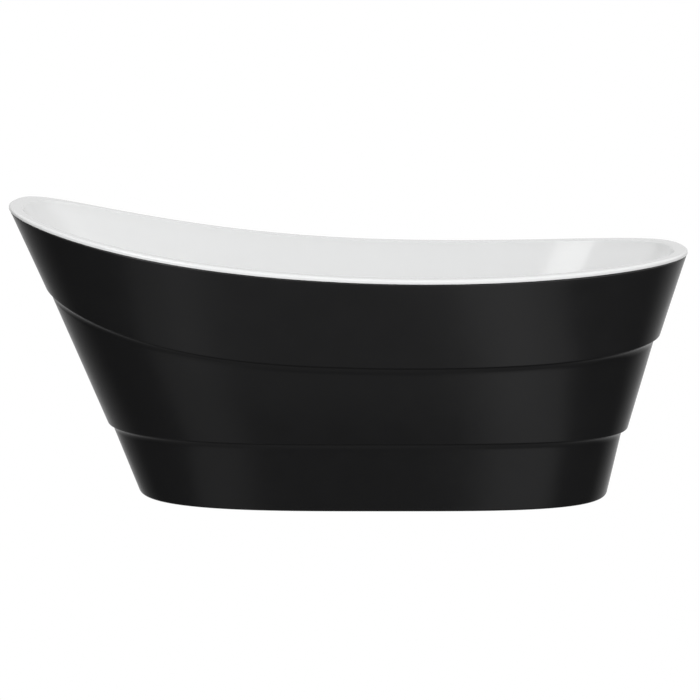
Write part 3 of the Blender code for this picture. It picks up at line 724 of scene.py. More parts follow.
class Finish(Nodes):
    """A material under construction: its shader, object coordinates and shared groups."""

    def __init__(self, name, constants):
        self.material = bpy.data.materials.new(name)
        self.material.use_nodes = True
        super().__init__(self.material.node_tree)
        self.shader = self.tree.nodes["Principled BSDF"]
        for socket, value in constants.items():
            self.shader.inputs[socket].default_value = value
        self.place = self.add("ShaderNodeTexCoord").outputs["Object"]

    def feed(self, socket, output):
        self.tree.links.new(output, self.shader.inputs[socket])

    def shared(self, socket, tree, result, **values):
        """Feed the shader's socket from a shared group."""
        values = {label.replace("_", " "): value for label, value in values.items()}
        node = self.add("ShaderNodeGroup", {"Vector": self.place, **values}, node_tree=tree)
        self.feed(socket, node.outputs[result])

    def gloss(self, scale, low, high):
        tree = uneven_gloss()
        self.shared("Roughness", tree, "Roughness", Scale=scale, Low=low, High=high)

    def relief(self, grain, ripple, amount, strength, height):
        scales = {"Grain_Scale": grain, "Ripple_Scale": ripple, "Ripple": amount}
        values = {**scales, "Strength": strength, "Height": height}
        self.shared("Normal", fine_relief(), "Normal", **values)

    def dust(self, colour, dust, amount, scale):
        values = {"Colour": (*colour, 1), "Dust": (*dust, 1), "Amount": amount, "Scale": scale}
        self.shared("Base Color", settled_dust(), "Color", **values)

    def tint(self, amount, low, high, end=1.0):
        """A colour that runs from one to another with an amount."""
        node = self.add("ShaderNodeValToRGB", {"Fac": amount})
        first, last = node.color_ramp.elements
        first.color, last.color = (*low, 1), (*high, 1)
        last.position = end
        return node.outputs["Color"]

    def bump(self, height, strength, distance):
        values = {"Height": height, "Strength": strength, "Distance": distance}
        self.feed("Normal", self.add("ShaderNodeBump", values).outputs["Normal"])


def laminate(look):
    """Sprayed glass fibre and resin: chopped strands under an uneven glossy coat."""
    finish = Finish("glass_fibre_laminate", {"IOR": 1.5})
    finish.gloss(30.0, 0.25, 0.6)
    twist = finish.noise(Vector=finish.place, Scale=25.0, Detail=4.0)["Color"]
    values = {0: twist, 1: (0.12, 0.12, 0.12), 2: finish.place}
    bent = finish.add("ShaderNodeVectorMath", values, operation="MULTIPLY_ADD").outputs["Vector"]
    values = {"Vector": bent, "Scale": 120.0}
    strands = finish.add("ShaderNodeTexVoronoi", values, feature="DISTANCE_TO_EDGE")
    strands = strands.outputs["Distance"]
    pale = [c * 1.25 for c in look.laminate]
    finish.feed("Base Color", finish.tint(strands, pale, look.laminate, 0.25))
    finish.bump(strands, 0.5, 0.002)
    return finish.material


def plywood(look):
    """Rotary-cut veneer on the faces, and bands of ply on the edges."""
    finish = Finish("plywood", {"IOR": 1.45})
    finish.gloss(25.0, 0.6, 0.85)
    values = {"Vector": finish.place, "Scale": (2.0, 22.0, 22.0)}
    lengthwise = finish.add("ShaderNodeMapping", values).outputs["Vector"]
    values = {"Vector": lengthwise, "Scale": 3.0, "Distortion": 9.0, "Detail": 4.0}
    grain = finish.add("ShaderNodeTexWave", values).outputs
    values = {"Vector": finish.place, "Scale": 65.0, "Distortion": 0.6}
    plies = finish.add("ShaderNodeTexWave", values, bands_direction="Z").outputs
    dark, darkest, light = [[c * part for c in look.wood] for part in (0.62, 0.4, 1.1)]
    face = finish.tint(grain["Color"], dark, look.wood)
    edge = finish.tint(plies["Color"], darkest, light)
    normal = finish.add("ShaderNodeNewGeometry").outputs["Normal"]
    flat = finish.math("ABSOLUTE", finish.axes(normal)["Z"])
    finish.feed("Base Color", finish.mix(flat, edge, face, data_type="RGBA"))
    finish.bump(grain["Fac"], 0.35, 0.0008)
    return finish.material


def galvanised_steel(look):
    """Hot-dip zinc: crystals that differ in tone and sheen."""
    finish = Finish("galvanised_steel", {"Metallic": 1.0})
    values = {"Vector": finish.place, "Scale": 90.0, "Randomness": 1.0}
    spangle = finish.add("ShaderNodeTexVoronoi", values).outputs["Color"]
    tone = finish.ramp(spangle, 0.0, 1.0, 0.75, 1.1)
    settings = {"data_type": "RGBA", "blend_type": "MULTIPLY"}
    finish.feed("Base Color", finish.mix(1.0, (*look.zinc, 1), tone, **settings))
    finish.feed("Roughness", finish.ramp(spangle, 0.0, 1.0, 0.32, 0.55))
    finish.relief(700.0, 60.0, 0.5, 0.12, 0.0006)
    return finish.material


def even_finishes(look):
    """By slot: the material's name, its fixed values, and its gloss, relief and dust."""
    rough = look.skirt_roughness
    return {
        "white_acrylic": (
            "gloss_white_acrylic",
            {"IOR": 1.49, "Coat Weight": 0.2, "Coat Roughness": 0.03},
            (3.0, 0.09, 0.15),
            (1400.0, 9.0, 0.85, 0.05, 0.002),
            (look.white, (0.78, 0.775, 0.76), 0.12, 20.0),
        ),
        "black_acrylic": (
            "satin_black_acrylic",
            {"IOR": 1.49, "Specular IOR Level": 0.5},
            (14.0, rough - 0.02, rough + 0.03),
            (1500.0, 60.0, 0.35, 0.06, 0.0006),
            (look.black, (0.03, 0.03, 0.031), 0.1, 90.0),
        ),
        "adhesive": (
            "cured_adhesive",
            {"IOR": 1.5},
            (40.0, 0.35, 0.7),
            (300.0, 45.0, 0.6, 0.5, 0.002),
            ((0.62, 0.60, 0.52), (0.45, 0.42, 0.36), 0.5, 90.0),
        ),
        "zinc_steel": (
            "zinc_plated_steel",
            {"Metallic": 1.0},
            (180.0, 0.22, 0.42),
            (1200.0, 150.0, 0.4, 0.1, 0.0003),
            ((0.66, 0.65, 0.60), (0.42, 0.38, 0.30), 0.35, 160.0),
        ),
        "chrome": (
            "polished_chrome",
            {"Metallic": 1.0, "IOR": 2.5},
            (60.0, 0.035, 0.09),
            (1500.0, 30.0, 0.7, 0.02, 0.0003),
            ((0.80, 0.81, 0.82), (0.68, 0.69, 0.70), 0.2, 240.0),
        ),
        "black_plastic": (
            "moulded_black_plastic",
            {"IOR": 1.46},
            (70.0, 0.38, 0.55),
            (1100.0, 120.0, 0.3, 0.25, 0.0004),
            ((0.022, 0.022, 0.023), (0.11, 0.105, 0.10), 0.35, 140.0),
        ),
        "grey_plastic": (
            "moulded_grey_plastic",
            {"IOR": 1.46},
            (70.0, 0.35, 0.5),
            (1100.0, 120.0, 0.3, 0.2, 0.0004),
            ((0.36, 0.37, 0.38), (0.25, 0.24, 0.22), 0.35, 140.0),
        ),
        "black_rubber": (
            "soft_black_rubber",
            {"IOR": 1.5, "Sheen Weight": 0.15, "Sheen Roughness": 0.4},
            (90.0, 0.65, 0.85),
            (800.0, 100.0, 0.4, 0.3, 0.0005),
            ((0.028, 0.028, 0.028), (0.10, 0.098, 0.095), 0.4, 200.0),
        ),
    }


PATTERNED = {"laminate": laminate, "plywood": plywood, "galvanised_steel": galvanised_steel}


@cache
def finish_of(slot):
    """A slot's material, made the first time it is asked for."""
    look = bpy.context.scene.tub_finish
    if slot in PATTERNED:
        return PATTERNED[slot](look)
    name, constants, gloss, relief, dust = even_finishes(look)[slot]
    finish = Finish(name, constants)
    finish.gloss(*gloss)
    finish.relief(*relief)
    finish.dust(*dust)
    return finish.material


# ---------------------------------------------------------------- pieces

DRAIN_BORE = 0.0248  # clears the drain sleeve's thread
TAIL_BORE = 0.0200  # clears the tailpiece
HOSE_GAP = 0.0008  # between the hose and what it passes
MOUTH = -0.0086  # where the overflow body starts, behind the basin's face
TOWARD_X = Matrix.Rotation(math.radians(90), 4, "Y")
AGAINST_X = Matrix.Rotation(math.radians(-90), 4, "Y")


def show(name, mesh, node, slot, smooth=35, place=None):
    """A finished piece that stands for a CAD node and rides on its body."""
    if place:
        mesh.transform(place)
    if not mesh.materials:
        mesh.materials.append(finish_of(slot))
    obj = placed(name, mesh)
    mesh.shade_smooth()
    mesh.set_sharp_from_angle(angle=math.radians(smooth))
    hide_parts(node)
    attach(obj, BODY_OF[node])


def show_steel(name, mesh, node, place=None):
    show(name, mesh, node, "zinc_steel", 30, place)


def show_black(name, mesh, node, place):
    show(name, mesh, node, "black_plastic", 30, place)


def nodes_called(start):
    return [node for node in NODES if node.startswith(start)]


def spot(node):
    """A CAD node's upright axis as a matrix, its radius, and its two heights."""
    low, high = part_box(node)
    middle = (low + high) / 2
    return Matrix.Translation((middle.x, middle.y, 0)), (high.x - low.x) / 2, low.z, high.z


def shell(rings, wall, slot):
    """A wall behind a skin over the rings, with laminate on its hidden side."""
    mesh = loft(rings, solid=False)
    for each in (slot, "laminate"):
        mesh.materials.append(finish_of(each))
    obj = placed("shell", mesh)
    even = {"use_even_offset": True, "use_quality_normals": True}
    hidden = {"material_offset": 1, "material_offset_rim": 1}
    modify(obj, "SOLIDIFY", thickness=wall, offset=-1, **even, **hidden)
    return bake(obj)


def wall_ends(size):
    """The rings at the top and at the foot of the basin's wall."""
    return rim_ring(size, size.rim_width, size.rim_edge), WALL_FOOT.ring(steady(size.floor))


def basin_rings(size):
    """From the drain hole out over the floor, up the walls and over the rim to the lip."""
    low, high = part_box("drain_flange")
    drain_x = (low.x + high.x) / 2
    floor_level = steady(size.floor + size.floor_fall)
    floor = WALL_FOOT.inset(size.cove).ring(floor_level)
    corner = WALL_FOOT.ring(floor_level)
    wall_top, wall_foot = wall_ends(size)
    recess = size.floor - size.recess_depth
    dish = [
        (size.drain_hole, recess),
        (size.recess - 0.003, recess),
        (size.recess - 0.0005, recess + 0.0004),
        (size.recess + 0.0020, size.floor - 0.0004),
        (size.recess + 0.0045, size.floor),
    ]
    rings = [circle(steady(radius), height, AROUND, 0.5, drain_x) for radius, height in dish]
    rings += [blend_rings(rings[-1], floor, index / 5) for index in range(1, 5)]
    straight = 1 - size.cove_share
    wall_end = blend_rings(wall_top, wall_foot, straight)
    for index in range(17):
        part = index / 16
        near = blend_rings(floor, corner, part)
        rings.append(blend_rings(near, blend_rings(corner, wall_end, part), part))
    for index in range(11, 0, -1):
        rings.append(blend_rings(wall_top, wall_foot, straight * index / 12))
    for turn in arc(8, 0, 90):
        inset, drop = bend(turn, size.rim_edge)
        rings.append(rim_ring(size, size.rim_width - inset, drop))
    for turn in arc(8, 90, 0):
        rings.append(rim_ring(size, *bend(turn, size.rim_edge)))
    for turn in arc(3, 0, 90):
        inset, drop = bend(turn, LIP_EDGE)
        rings.append(rim_ring(size, inset, size.lip_depth - drop))
    return rings


def overflow_frame(size):
    """A matrix at the overflow hole's centre, with its Z axis pointing into the basin."""
    low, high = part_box("overflow_gasket")
    wall_top, wall_foot = wall_ends(size)
    down = (wall_foot[0] - wall_top[0]).normalized()
    axes = Matrix.Rotation(math.atan2(-down.x, -down.z) - math.radians(90), 4, "Y")
    centre = (low + high) / 2
    offset = wall_top[0] - centre
    offset.y = 0
    normal = axes @ Vector((0, 0, 1))
    centre += normal * offset.dot(normal)
    return Matrix.Translation(centre) @ axes


class TUB_OT_basin(bpy.types.Operator):
    """Build the white basin with its rolled rim"""

    bl_idname = "tub.basin"
    bl_label = "Basin"

    def execute(self, context):
        size = context.scene.tub_sizes
        mesh = shell(basin_rings(size), size.basin_wall, "white_acrylic")
        hole = rod(size.overflow_hole, -0.03, 0.03, 96, overflow_frame(size), 0)
        show("white_basin", carve(mesh, hole), "basin", "white_acrylic", 40)
        return {"FINISHED"}


def cove(size, outline, height):
    """Rings down one step: in almost flat under the corner, then curving down to the next tier."""
    turns = arc(14, 6, 72)
    first, last = turns[0], turns[-1]
    rings = []
    for turn in turns:
        inward = (math.sin(turn) - math.sin(first)) / (math.sin(last) - math.sin(first))
        down = (math.cos(first) - math.cos(turn)) / (math.cos(first) - math.cos(last))
        rings.append(outline.inset(size.step_inset * inward).ring(height(size.step_fall * down)))
    return rings


def skirt_rings(size):
    """From the flange under the rim down over both steps to the flange on the floor."""
    drop = size.lip_depth + 0.0006
    upper = cove(size, STEP_ONE, lambda below: sweep(size.top, STEP_ONE_DROPS, below))
    lower = cove(size, STEP_TWO, lambda below: steady(size.step_two - below))
    rings = [rim_ring(size, FLANGE, drop), rim_ring(size, size.skirt_inset, drop)]
    reaches = [0, 0.004]
    for step in (upper, lower):
        rings += step
        reaches += [size.step_corner, *[0] * (len(step) - 2), size.step_hollow]
    rings += [BASE.ring(steady(0)), BASE.inset(FLANGE).ring(steady(0))]
    reaches += [0.006, 0]
    return fill(soften(rings, reaches, 6))


class TUB_OT_skirt(bpy.types.Operator):
    """Build the black stepped skirt"""

    bl_idname = "tub.skirt"
    bl_label = "Skirt"

    def execute(self, context):
        size = context.scene.tub_sizes
        mesh = shell(skirt_rings(size), size.skirt_wall, "black_acrylic")
        show("black_skirt", mesh, "outer_skirt", "black_acrylic", 40)
        return {"FINISHED"}


class TUB_OT_board(bpy.types.Operator):
    """Build the floor board, and finish the bond between basin and skirt"""

    bl_idname = "tub.board"
    bl_label = "Board and Bond"

    def execute(self, context):
        bond = NODES["rim_bond"].data.materials
        bond.clear()
        bond.append(finish_of("adhesive"))
        low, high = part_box("floor_board")
        mesh = block(high - low, (low + high) / 2, 0.0012)
        hole = context.scene.tub_hardware.screw_hole
        for node in nodes_called("frame_screw"):
            place, _, _, tip = spot(node)
            mesh = carve(mesh, rod(hole, low.z - 0.005, tip + 0.0008, 24, place))
        show("plywood_board", mesh, "floor_board", "plywood", 30)
        return {"FINISHED"}


def square_tube(node, along, holes, radius):
    """A rolled square tube in a CAD tube's place, drilled upright at the holes."""
    hardware = bpy.context.scene.tub_hardware
    low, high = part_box(node)
    middle = (low + high) / 2
    half = (high.z - low.z) / 2
    first, last = (low.x, high.x) if along == "X" else (low.y, high.y)

    def ring(end, inset):
        corner = max(hardware.tube_corner - inset, 0.0008)
        reach = (half - inset - corner) * math.sqrt(2)
        points = []
        for index in range(24):
            quarter, step = divmod(index, 6)
            turn, side = [math.radians(90 * quarter + more) for more in (18 * step, 45)]
            a = reach * math.cos(side) + corner * math.cos(turn)
            b = reach * math.sin(side) + corner * math.sin(turn)
            at = (end, middle.y + a) if along == "X" else (middle.x + a, end)
            points.append(Vector((*at, middle.z + b)))
        return points

    wall, burr = hardware.tube_wall, 0.0004
    outside = [(first, burr), (first + burr, 0), (last - burr, 0), (last, burr)]
    rings = [ring(end, inset) for end, inset in (*outside, (last, wall), (first, wall))]
    mesh = loft(rings, closed=True)
    for at in holes:
        place = Matrix.Translation((at.x, at.y, 0))
        mesh = carve(mesh, rod(radius, low.z - 0.005, high.z + 0.005, 36, place))
    return mesh


class TUB_OT_frame(bpy.types.Operator):
    """Build the rails, crossbars, welds and frame screws"""

    bl_idname = "tub.frame"
    bl_label = "Frame"

    def execute(self, context):
        hardware = context.scene.tub_hardware
        studs, screws = [
            [spot(node)[0].translation for node in nodes_called(start)]
            for start in ("levelling_stud", "frame_screw")
        ]
        rails, bars = nodes_called("frame_rail"), nodes_called("crossbar")
        for node in rails:
            low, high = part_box(node)
            holes = [at for at in screws if low.y < at.y < high.y]
            mesh = square_tube(node, "X", holes, hardware.screw_hole)
            show(node.replace("frame_", "steel_"), mesh, node, "galvanised_steel", 30)
        for node in bars:
            low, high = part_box(node)
            holes = [at for at in studs if low.x < at.x < high.x]
            mesh = square_tube(node, "Y", holes, hardware.stud_hole)
            show(f"steel_{node}", mesh, node, "galvanised_steel", 30)
        self.weld(hardware, rails, bars)
        for node in nodes_called("frame_screw"):
            self.screw(node)
        return {"FINISHED"}

    def weld(self, hardware, rails, bars):
        """Beads along both sides of each crossing, and round each nut under the crossbars."""
        paths = []
        for rail in rails:
            low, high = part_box(rail)
            start, end = low.y + hardware.weld, high.y - hardware.weld
            for bar in bars:
                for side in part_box(bar):
                    paths.append(([(side.x, start, low.z), (side.x, end, low.z)], False))
        reach = hardware.nut_across / 2
        for node in nodes_called("weld_nut"):
            place, _, _, height = spot(node)
            centre = place.translation
            ring = []
            for turn in arc(36, 0, 350):
                wide = min(reach / math.cos(off_flat(turn)), reach * 1.09) + 0.0002
                x, y = centre.x + wide * math.cos(turn), centre.y + wide * math.sin(turn)
                ring.append((x, y, height))
            paths.append((ring, True))
        curve = poly_curve("welds", paths)
        mesh = ruled(curve, weld_rule(), "galvanised_steel", Size=hardware.weld)
        mesh.shade_smooth()
        beads = placed("weld_beads", mesh)
        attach(beads, BODY_OF[bars[0]])

    def screw(self, node):
        """A washer-head screw, driven up through the rail."""
        place, head, low, high = spot(node)
        shank, neck, cone = 0.0025, low + 0.0037, low + 0.0022
        corners = [
            (0, high),
            (0.0008, high - 0.0006),
            (shank, high - 0.004),
            (shank, neck),
            (head, neck),
            (head, neck - 0.0009),
            (head * 0.8, cone),
            (0, cone),
        ]
        ends = neck + 0.002, high - 0.003
        body = threaded(corners, 0.0002, 36, "zinc_steel", shank, 0.0014, 0.0006, *ends)
        mesh = join(body, hexagon(head * 1.42, low, low + 0.003))
        show_steel(node.replace("frame_screw", "hex_screw"), mesh, node, place)


class TUB_OT_feet(bpy.types.Operator):
    """Build the nuts, studs and pads of the levelling feet"""

    bl_idname = "tub.feet"
    bl_label = "Levelling Feet"

    def execute(self, context):
        hardware = context.scene.tub_hardware
        for node in nodes_called(("weld_nut", "lock_nut")):
            place, _, low, high = spot(node)
            mesh = hexagon(hardware.nut_across, low, high, hardware.stud_hole - 0.0004)
            show_steel(node.replace("_nut", "_hex_nut"), mesh, node, place)
        for node in nodes_called("levelling_stud"):
            self.stud(node, hardware)
        for node in nodes_called("foot_pad"):
            self.pad(node)
        return {"FINISHED"}

    def stud(self, node, hardware):
        place, _, low, high = spot(node)
        radius, pitch, tip = hardware.stud, hardware.stud_pitch, 0.0012
        corners = [
            (0, high),
            (radius - tip, high),
            (radius, high - tip),
            (radius, low + tip),
            (radius - tip, low),
            (0, low),
        ]
        thread = radius, pitch, hardware.stud_thread, low + 0.012, high
        mesh = threaded(corners, 0.0003, 32, "zinc_steel", *thread, step=pitch / 6)
        slot = block((3 * radius, 0.0016, 0.004), (0, 0, high), 0.0001)
        show_steel(node.replace("levelling", "threaded"), carve(mesh, slot), node, place)

    def pad(self, node):
        place, _, low, high = spot(node)
        corners = [
            (0, 0.010),
            (0.0068, 0.010),
            (0.0068, high),
            (0.0112, high),
            (0.0120, 0.0115),
            (0.0205, 0.0062),
            (0.0245, 0.0052),
            (0.0250, 0.0034),
            (0.0250, 0.0012),
            (0.0243, low),
            (0, low),
        ]
        inner, outer, foot, top = 0.0105, 0.0218, 0.004, 0.0212
        fin = [(inner, top), (0.0118, top), (outer, 0.0070), (outer, foot), (inner, foot)]
        mesh = ribbed(turned(corners, 0.0012, 72), prism(fin, 0.0016), 10)
        show_black(node.replace("foot_pad", "ribbed_pad"), mesh, node, place)


def hand_nut(inner, outer, low, high, count):
    """A round nut with half-round grips and a plain collar, about Z."""
    grip = min(0.0017, math.pi * outer / count * 0.45)
    rib = rod(grip, low + 0.0008, high - 0.0022, 12, None, 0.0005)
    body = bush(inner, outer, low, high, 0.0006, 72)
    return ribbed(body, rib, count, outer - grip * 0.55)


class TUB_OT_drain(bpy.types.Operator):
    """Build the drain flange, its seals and the click stopper"""

    bl_idname = "tub.drain"
    bl_label = "Drain and Stopper"

    def execute(self, context):
        hardware = context.scene.tub_hardware
        place, radius, end, top = spot("drain_flange")
        under, wall = top - 0.003, 0.0035
        sleeve, pitch = hardware.sleeve, hardware.drain_pitch
        corners = [
            (radius - 0.0025, top),
            (radius, under + 0.0012),
            (radius - 0.0002, under),
            (sleeve, under),
            (sleeve, end),
            (sleeve - wall, end),
            (sleeve - wall, under - 0.007),
            (sleeve + 0.002, under + 0.0005),
        ]
        thread = sleeve, pitch, 0.0010, end + 0.0005, under - 0.006
        flange = threaded(corners, 0.0009, 120, "chrome", *thread, step=pitch / 6)
        thick, eye = 0.006, 0.0038
        low = end + 0.014
        high = low + thick
        cross = block((2 * sleeve - wall, 0.004, thick), (0, 0, (low + high) / 2), 0.0008)
        cross = carve(cross, bush(eye, 0.0075, low - 0.0005, high, 0.0005, 48), "UNION")
        cross = carve(cross, rod(eye, low - 0.004, high + 0.004, 36))
        show("drain_strainer", join(flange, cross), "drain_flange", "chrome", 35, place)
        self.stopper(place, high)
        seals = {"drain_seal": (0.0275, 0.0004), "drain_gasket": (DRAIN_BORE, 0.0008)}
        for node, (inner, edge) in seals.items():
            _, outer, low, high = spot(node)
            mesh = bush(inner, outer, low, high, edge, 96, place)
            show(f"rubber_{node}", mesh, node, "black_rubber")
        return {"FINISHED"}

    def stopper(self, place, bridge):
        _, radius, under, top = spot("stopper_cap")
        dome = [
            (radius * 1.02 * math.cos(turn), under + (top - under) * math.sin(turn))
            for turn in arc(14, 90, 12)
        ]
        corners = [*dome, (radius, under + 0.0008), (radius - 0.0003, under), (0, under)]
        mesh = turned(corners, 0.0003, 120, place)
        show("domed_stopper_cap", mesh, "stopper_cap", "chrome", 50)
        _, outer, low, high = spot("stopper_seal")
        inner = 0.0118
        corners = [
            (outer, high),
            (outer, high - 0.0016),
            (outer - 0.0022, (low + high) / 2),
            (outer - 0.0012, low + 0.0012),
            (outer - 0.0018, low),
            (inner, low),
            (inner, high),
        ]
        mesh = turned(corners, 0.0005, 96, place)
        show("lipped_stopper_seal", mesh, "stopper_seal", "black_rubber")
        _, boss, low, high = spot("stopper_stem")
        neck, stem = high - 0.0058, 0.003
        groove = stem - 0.0006
        corners = [(0, high), (boss, high), (boss, neck), (stem, neck - 0.002)]
        for index in range(3):
            at = bridge - 0.0075 - 0.003 * index
            corners += [(stem, at), (groove, at - 0.0004)]
            corners += [(groove, at - 0.0012), (stem, at - 0.0016)]
        corners += [(stem, low + 0.0008), (stem - 0.0008, low), (0, low)]
        show_steel("grooved_stopper_stem", turned(corners, 0.0002, 48, place), "stopper_stem")
        _, _, low, high = spot("stopper_cartridge")
        mesh = hand_nut(0.0038, 0.0066, low, high, 10)
        show_black("click_cartridge", mesh, "stopper_cartridge", place)


def inlet_height():
    """The height of the tee's side inlet."""
    low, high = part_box("hose_nut_lower")
    return (low.z + high.z) / 2


def hose_neck(root, reach, bead, place):
    """A stub from root to reach for the hose, with a bead round it."""
    radius = bpy.context.scene.tub_hardware.neck_radius
    front = reach - 0.0135
    back = front - 2.5 * bead
    corners = [
        (0, reach),
        (radius, reach),
        (radius, front + 0.0015),
        (radius + bead, front),
        (radius + bead, back),
        (radius, back - 0.0015),
        (radius, root),
        (0, root),
    ]
    return turned(corners, 0.0005, 60, place)


class TUB_OT_waste(bpy.types.Operator):
    """Build the tee, the back nut and the tailpiece under the drain"""

    bl_idname = "tub.waste"
    bl_label = "Waste"

    def execute(self, context):
        hardware = context.scene.tub_hardware
        place, radius, low, high = spot("drain_back_nut")
        body = bush(DRAIN_BORE, radius - 0.003, low, high, 0.0008, 96)
        size = (0.005, 0.009, high - low - 0.001)
        lug = block(size, (radius - 0.0026, 0, (low + high) / 2), 0.0009)
        show_black("lugged_back_nut", ribbed(body, lug, 6), "drain_back_nut", place)
        self.tee(place, hardware)
        _, radius, low, high = spot("tailpiece")
        inner, bevel = radius - 0.0020, low + 0.002
        corners = [
            (radius, high),
            (radius, bevel),
            (radius - 0.0006, low),
            (radius - 0.0018, low),
            (inner, bevel),
            (inner, high),
        ]
        show("chrome_tailpiece", turned(corners, 0.0003, 72, place), "tailpiece", "chrome")
        _, radius, low, high = spot("tailpiece_nut")
        mesh = hand_nut(TAIL_BORE, radius - 0.0012, low, high, 2 * hardware.grips)
        show_black("tailpiece_hand_nut", mesh, "tailpiece_nut", place)
        return {"FINISHED"}

    def tee(self, place, hardware):
        low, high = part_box("waste_tee")
        axis = place.translation.x
        body, reach = axis - low.x, high.x - axis
        waist = body - 0.0012
        corners = [
            (0, high.z),
            (body, high.z),
            (body, high.z - 0.005),
            (waist, high.z - 0.007),
            (waist, low.z + 0.007),
            (body, low.z + 0.005),
            (body, low.z),
            (0, low.z),
        ]
        sideways = Matrix.Translation((0, 0, inlet_height())) @ TOWARD_X
        sleeve_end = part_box("drain_flange")[0].z - 0.0003
        mesh = turned(corners, 0.0008, 72)
        mesh = carve(mesh, hose_neck(body / 2, reach, 0.0012, sideways), "UNION")
        mesh = carve(mesh, rod(DRAIN_BORE, sleeve_end, high.z + 0.01, 72))
        mesh = carve(mesh, rod(TAIL_BORE, low.z - 0.01, high.z - 0.004, 72))
        mesh = carve(mesh, rod(hardware.hose + HOSE_GAP, 0, reach + 0.01, 48, sideways))
        show_black("moulded_waste_tee", mesh, "waste_tee", place)


class TUB_OT_overflow(bpy.types.Operator):
    """Build the overflow's cover, body, hose and nuts"""

    bl_idname = "tub.overflow"
    bl_label = "Overflow"

    def execute(self, context):
        size, hardware = context.scene.tub_sizes, context.scene.tub_hardware
        place = overflow_frame(size)
        radius, hole, face = 0.034, size.overflow_hole, 0.0085
        behind = -(size.basin_wall + 0.0003)
        mesh = bush(hole + 0.0003, radius, behind - 0.003, behind, 0.0006, 96, place)
        show("rubber_overflow_gasket", mesh, "overflow_gasket", "black_rubber")
        last, eye = math.radians(18), 0.0033
        dome = []
        for turn in arc(10, 82, 18):
            out = (radius - 0.0004) * math.cos(turn) / math.cos(last)
            dome.append((out, face - 0.0028 * (1 - math.sin(turn)) / (1 - math.sin(last))))
        corners = [
            (eye, face),
            *dome,
            (radius, face - 0.0035),
            (radius, face - 0.005),
            (radius - 0.0012, face - 0.005),
            (radius - 0.0020, face - 0.0038),
            (eye, face - 0.0022),
        ]
        mesh = turned(corners, 0.0003, 120, place)
        show("domed_overflow_cover", mesh, "overflow_cover", "chrome", 50)
        self.screw(place, face)
        self.body(place, hardware, radius, hole - 0.001)
        self.hose(place, hardware)
        return {"FINISHED"}

    def screw(self, place, face):
        seat, head, shank, rise = face + 0.0003, 0.0052, 0.0025, 0.003
        end = MOUTH - 0.009
        corners = [(0, seat + rise)]
        corners += [(head * math.cos(t), seat + rise * math.sin(t)) for t in arc(8, 70, 10)]
        corners += [(head, seat), (shank, seat), (shank, end), (0, end)]
        thread = shank, 0.0008, 0.0004, MOUTH - 0.0085, face - 0.004
        mesh = threaded(corners, 0.0003, 48, "chrome", *thread)
        for size in ((0.0058, 0.0009, 0.003), (0.0009, 0.0058, 0.003)):
            mesh = carve(mesh, block(size, (0, 0, seat + 0.0028), 0.0001))
        show("cross_head_screw", mesh, "overflow_screw", "chrome", 30, place)

    def body(self, place, hardware, radius, cavity):
        neck, reach = hardware.neck_radius, hardware.neck
        back = MOUTH - 2 * neck
        inside, waist = back + 0.0028, radius - 0.0022
        corners = [
            (0, inside),
            (cavity - 0.007, inside),
            (cavity, MOUTH - 0.010),
            (cavity, MOUTH),
            (radius, MOUTH),
            (radius, MOUTH - 0.004),
            (waist, MOUTH - 0.0055),
            (waist, MOUTH - 0.009),
            (radius - 0.010, back),
            (0, back),
        ]
        down = Matrix.Translation((0, 0, MOUTH - neck)) @ AGAINST_X
        bar = block((0.009, 2 * cavity + 0.004, 0.006), (0, 0, MOUTH - 0.004), 0.0006)
        mesh = turned(corners, 0.001, 96)
        mesh = carve(mesh, hose_neck(cavity, reach, 0.0010, down), "UNION")
        mesh = carve(mesh, rod(hardware.hose + HOSE_GAP, cavity / 2, reach + 0.01, 48, down))
        mesh = carve(mesh, bar, "UNION")
        mesh = carve(mesh, rod(0.0033, MOUTH - 0.012, MOUTH + 0.001, 24))
        show_black("moulded_overflow_body", mesh, "overflow_body", place)

    def hose(self, place, hardware):
        """The hose drops behind the wall, and bends round into the tee."""
        depth, grip = MOUTH - hardware.neck_radius, hardware.hose_grip
        start = place @ Vector((grip - hardware.neck, 0, depth))
        down = (place.to_3x3() @ Vector((-1, 0, 0))).normalized()
        knee = start + down * ((start.z - hardware.hose_turn) / -down.z)
        nut_low, nut_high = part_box("hose_nut_lower")
        tall = nut_high.x - nut_low.x
        inlet = Vector((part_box("waste_tee")[1].x, 0, inlet_height()))
        straight = inlet + Vector((2 * tall, 0, 0))
        pull = 0.55 * (knee - straight).length
        first, second = knee + down * pull, straight + Vector((0.8 * pull, 0, 0))
        points = [start]
        for index in range(41):
            part = index / 40
            rest = 1 - part
            leaving = knee * rest**3 + first * 3 * rest**2 * part
            points.append(leaving + second * 3 * rest * part**2 + straight * part**3)
        points.append(inlet - Vector((grip, 0, 0)))
        values = {"Radius": hardware.hose, "Depth": hardware.hose_depth}
        values |= {"Pitch": hardware.hose_pitch, "Grip": grip + 0.012}
        curve = poly_curve("hose_path", [(points, False)])
        mesh = ruled(curve, hose_rule(), "grey_plastic", **values)
        show("corrugated_hose", mesh, "overflow_hose", "grey_plastic", 60)
        ends = {
            "upper": place @ Matrix.Translation((-hardware.neck, 0, depth)) @ AGAINST_X,
            "lower": Matrix.Translation(inlet) @ TOWARD_X,
        }
        gap = 0.0003
        bore, outer = hardware.hose + HOSE_GAP, hardware.neck_radius + 0.0010
        for name, where in ends.items():
            mesh = hand_nut(bore, outer, gap, gap + tall, hardware.grips)
            show_black(f"hose_hand_nut_{name}", mesh, f"hose_nut_{name}", where)


# ---------------------------------------------------------------- stage


